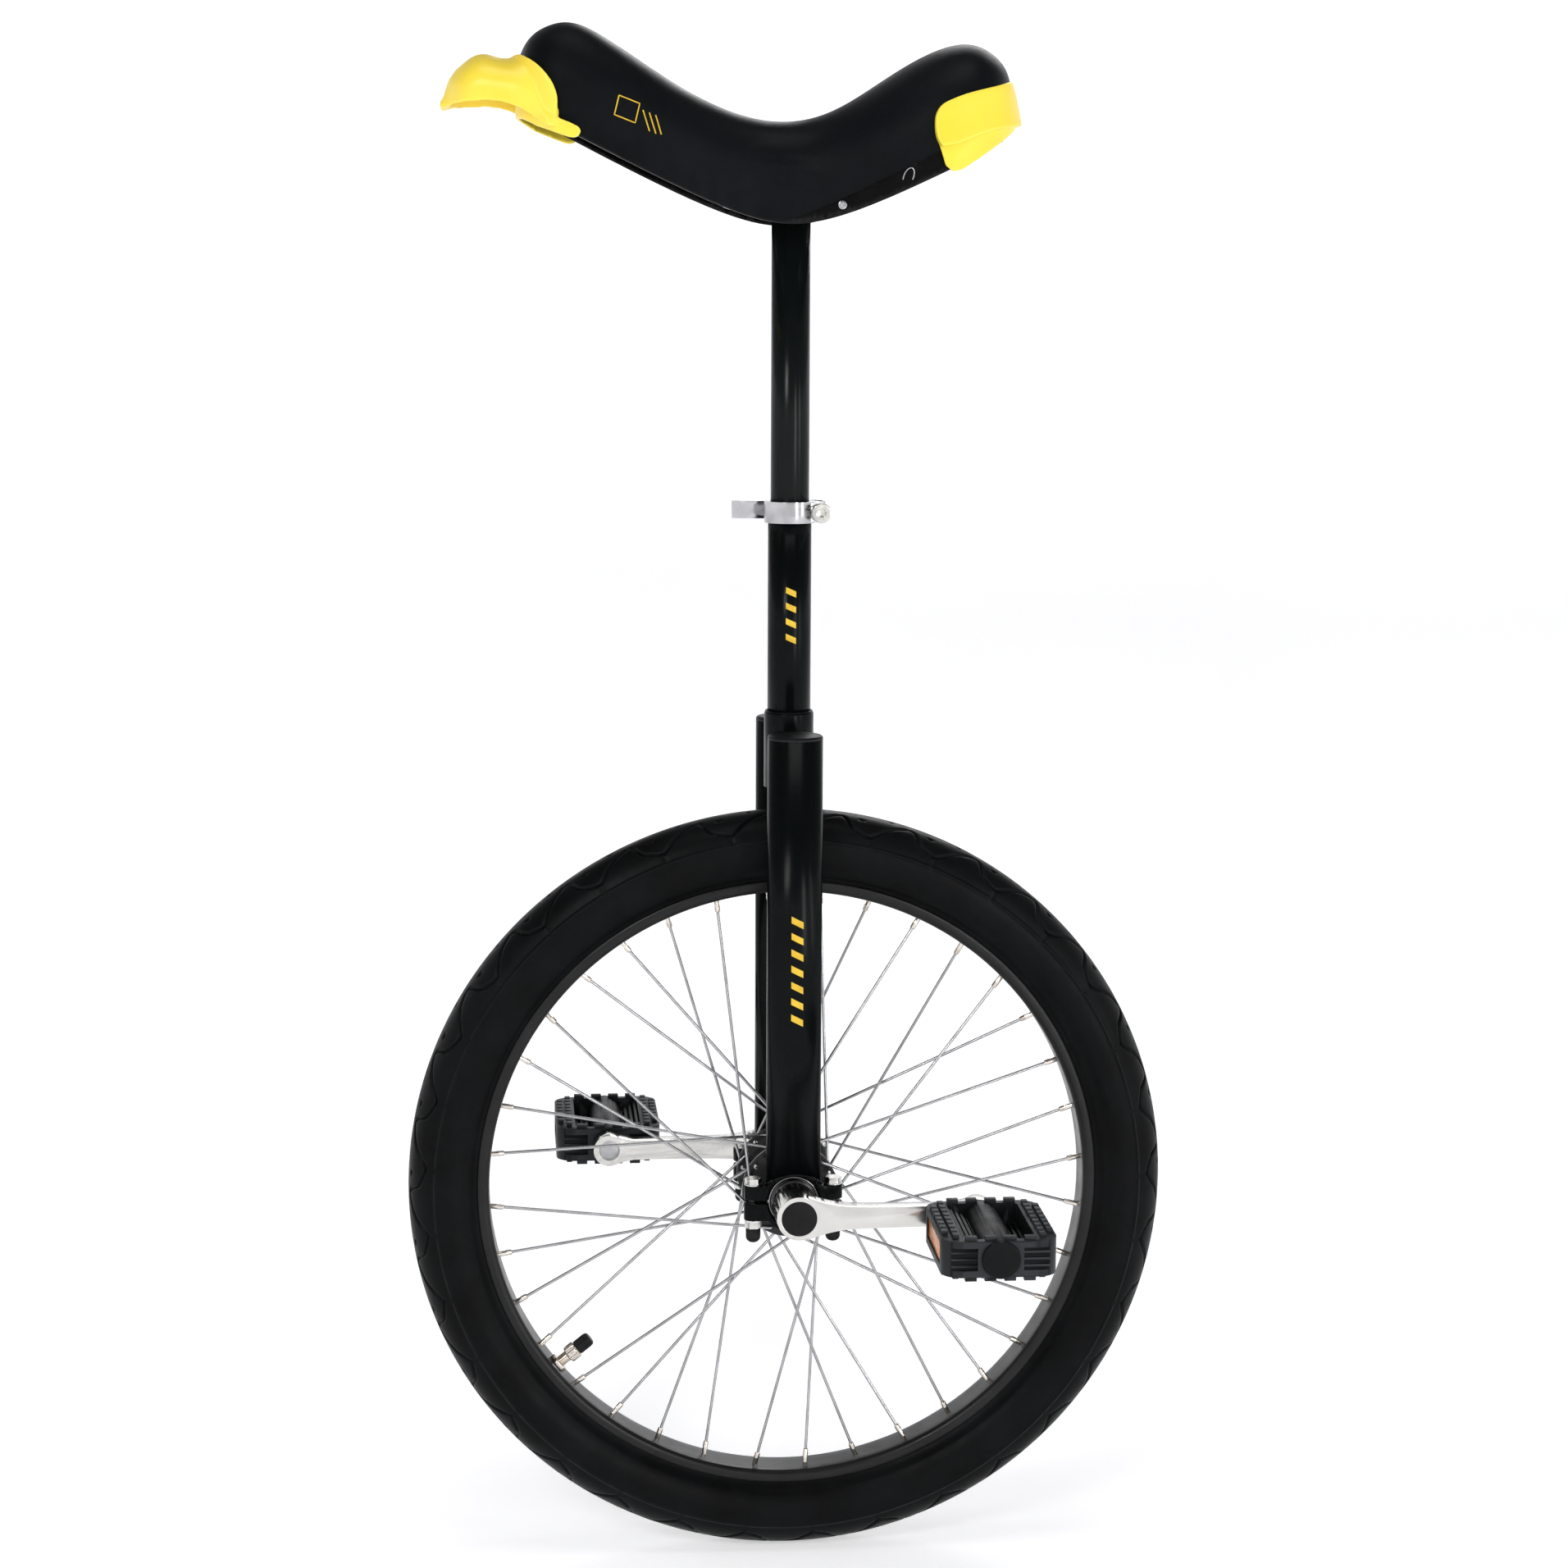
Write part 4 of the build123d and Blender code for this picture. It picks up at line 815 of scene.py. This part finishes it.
def make_welds():
    """Beads round the crown's joints, the legs' feet and the top of the post."""
    beads = [weld_bead(ring_points(15.0, AX_MM + 320.1, 110), 0.8)]
    for side in (1, -1):
        beads.append(weld_bead(bridge_points(side, 18.2, LEG_Y, -1), 1.1))
        beads.append(weld_bead(bridge_points(side, 16.6, 0.0, 1), 1.1))
    verts, faces = join(beads)
    piece("crown_weld_beads", verts, faces, "frame_paint", "frame", 60)
    feet = [weld_bead(leg_foot_points(side), 1.0) for side in (1, -1)]
    verts, faces = join(feet)
    piece("leg_foot_beads", verts, faces, "frame_paint", "frame", 60)
    verts, faces = weld_bead(ring_points(13.3, AX_MM + 647.0, 100), 1.5)
    piece("post_top_bead", verts, faces, "post_steel", "saddle", 60)


def patch_on_tube(centre_y, radius, bottom, height, angle_low, angle_high, lean):
    """A thin raised bar of print on a tube's left face, in millimetres; angles from straight left."""
    rows, cols, sunk, raised = 6, 5, -0.05, 0.09
    verts = []
    for lift in (sunk, raised):
        for i in range(rows):
            for j in range(cols):
                a = radians(angle_low + (angle_high - angle_low) * j / (cols - 1))
                z = bottom + height * i / (rows - 1) + lean * j / (cols - 1)
                r = radius + lift
                verts.append(Vector((r * sin(a), centre_y + r * cos(a), AX_MM + z)) * MM)
    size = rows * cols
    low = strip(rows, cols, False, False)
    high = strip(rows, cols, False, False, size)
    border = list(range(cols)) + [i * cols + cols - 1 for i in range(1, rows)]
    border += [(rows - 1) * cols + j for j in range(cols - 2, -1, -1)]
    border += [i * cols for i in range(rows - 2, 0, -1)]
    sides = [(a, b, b + size, a + size) for a, b in zip(border, border[1:] + border[:1])]
    return verts, low + high + sides


# lines of the emblem on the left flank: x and height above the axle, millimetres
EMBLEM = [[(113, 716), (100, 711), (103, 699), (116, 704), (113, 716)],
          [(98, 707), (94, 694)], [(94, 705.5), (90, 692.5)], [(90, 704), (86.5, 692)]]
EMBLEM_RADIUS, EMBLEM_STEPS = 0.00042, 8


def make_accents():
    """Plain gold bars on the left leg and the neck, and a plain emblem on each flank of the saddle."""
    bars = [patch_on_tube(LEG_Y, LEG_R, 121.0 + 10.8 * k, 4.4, -14, 11, 4.0) for k in range(7)]
    bars += [patch_on_tube(0.0, NECK_R, 366.0 + 10.2 * k, 4.0, -13, 14, 3.0) for k in range(4)]
    verts, faces = join(bars)
    made = piece("frame_accent_bars", verts, faces, "yellow_plastic", "frame", 30)
    made.data.materials[0] = GOLD_PRINT
    lines = []
    for side in (1, -1):
        for corners in EMBLEM:
            points = []
            for (x0, z0), (x1, z1) in zip(corners, corners[1:]):
                for k in range(EMBLEM_STEPS):
                    share = k / EMBLEM_STEPS
                    points.append((x0 + (x1 - x0) * share, z0 + (z1 - z0) * share))
            points.append(corners[-1])
            spots = [Vector((x, side * (skin_half(x, z) + 0.25), AX_MM + z)) * MM for x, z in points]
            lines.append(tube(spots, EMBLEM_RADIUS, 8))
    verts, faces = join(lines)
    made = piece("saddle_emblem", verts, faces, "yellow_plastic", "saddle", 40)
    made.data.materials[0] = GOLD_PRINT


def make_base_fittings():
    """A bent wire clip and a small bolt on each edge of the saddle's base."""
    clip_x, bolt_x, inset = -68.0, -28.0, 1.6
    # radius and height above the base, millimetres: a flanged head with a recess
    profile = [(0.0, -2.0), (1.6, -2.0), (2.7, 0.0), (2.7, 0.3), (2.0, 0.5), (2.0, 1.3), (1.7, 1.7),
               (1.0, 1.7), (0.9, 0.4), (0.0, 0.4)]
    wires, heads = [], []
    for side in (1, -1):
        z = belly(clip_x) + 8.0
        loop = []
        for k in range(19):
            a = radians(200 - 220 * k / 18)
            up = 5.4 * sin(a)
            y = skin_half(clip_x, z + up - AX_MM) - inset + 0.6
            loop.append(Vector((clip_x + 3.2 * cos(a) - 0.25 * up, side * y, z + up)) * MM)
        wires.append(tube(loop, 0.00042, 10))
        z = belly(bolt_x) + 6.5
        place_of_bolt = Vector((bolt_x, side * (skin_half(bolt_x, z - AX_MM) - inset), z)) * MM
        heads.append(lathe([(r * MM, d * MM) for r, d in profile], place_of_bolt, (0, side, 0), 32))
    verts, faces = join(wires)
    piece("base_wire_clips", verts, faces, "spoke_steel", "saddle", 40)
    verts, faces = join(heads)
    piece("base_side_bolts", verts, faces, "spoke_steel", "saddle", 30)


# ---- run ----------------------------------------------------------------------------
make_camera()
make_studio()
make_tyre()
make_rim()
make_spokes()
make_nipples()
make_valve()
make_cover()
make_welds()
make_accents()
make_base_fittings()

# CAD nodes that keep their shape: material
PLAIN = {
    "inner_tube": "tube_rubber", "rim_tape": "rim_tape_rubber", "bearing_outer_rings": "bearing_steel",
    "bearing_inner_rings": "bearing_steel", "bearing_balls": "bearing_steel", "bearing_seals": "seal_rubber",
    "hub_spacers": "axle_steel", "pedal_cones": "axle_steel", "pedal_balls": "bearing_steel",
    "saddle_foam": "foam",
    "fork_leg_left": "frame_paint", "fork_leg_right": "frame_paint", "neck_tube": "frame_paint",
    "seat_post": "post_steel", "crown_sleeve": "frame_paint", "leg_plugs": "black_plastic",
    "saddle_base": "base_plastic", "saddle_bracket": "frame_paint", "lever_barrel": "bolt_steel",
    "holder_nut_caps": "cap_plastic",
}
for name, mat in PLAIN.items():
    dress(name, mat)

# and those that also get rounded edges: material, and width of the rounding in millimetres
EDGED = {
    "valve_rim_nut": ("nickel_brass", 0.4), "hub_shell": ("hub_steel", 0.5), "axle": ("axle_steel", 0.3),
    "crank_left": ("crank_chrome", 1.2), "crank_right": ("crank_chrome", 1.2),
    "crank_bolts": ("bolt_steel", 0.4), "dust_caps": ("cap_plastic", 0.5),
    "pedal_spindle_left": ("axle_steel", 0.4),
    "pedal_spindle_right": ("axle_steel", 0.4), "pedal_body_left": ("black_plastic", 0.5),
    "pedal_body_right": ("black_plastic", 0.5), "pedal_end_cap_left": ("black_plastic", 0.3),
    "pedal_end_cap_right": ("black_plastic", 0.3), "pedal_reflectors_left": ("amber_plastic", 0.3),
    "pedal_reflectors_right": ("amber_plastic", 0.3), "crown_bridges": ("frame_paint", 0.6),
    "bearing_holder_left": ("frame_paint", 0.8), "bearing_holder_right": ("frame_paint", 0.8),
    "bearing_cap_left": ("frame_paint", 0.8), "bearing_cap_right": ("frame_paint", 0.8),
    "holder_bolts": ("bolt_steel", 0.25), "holder_nuts": ("bolt_steel", 0.35),
    "seat_clamp_band": ("clamp_chrome", 0.6), "clamp_bolt": ("bolt_steel", 0.3),
    "lever_washer": ("black_plastic", 0.3), "clamp_lever": ("clamp_chrome", 0.5),
    "saddle_studs": ("bolt_steel", 0.3), "saddle_nuts": ("bolt_steel", 0.4),
}
for name, (mat, width) in EDGED.items():
    dress(name, mat, width * MM)

# the guards' edges are rounded as in a moulding: size of the remesh, rounds of smoothing, swell
moulded("front_bumper", "yellow_plastic", 0.0011, 6)
moulded("rear_bumper", "yellow_plastic", 0.0006, 14, 0.0004)
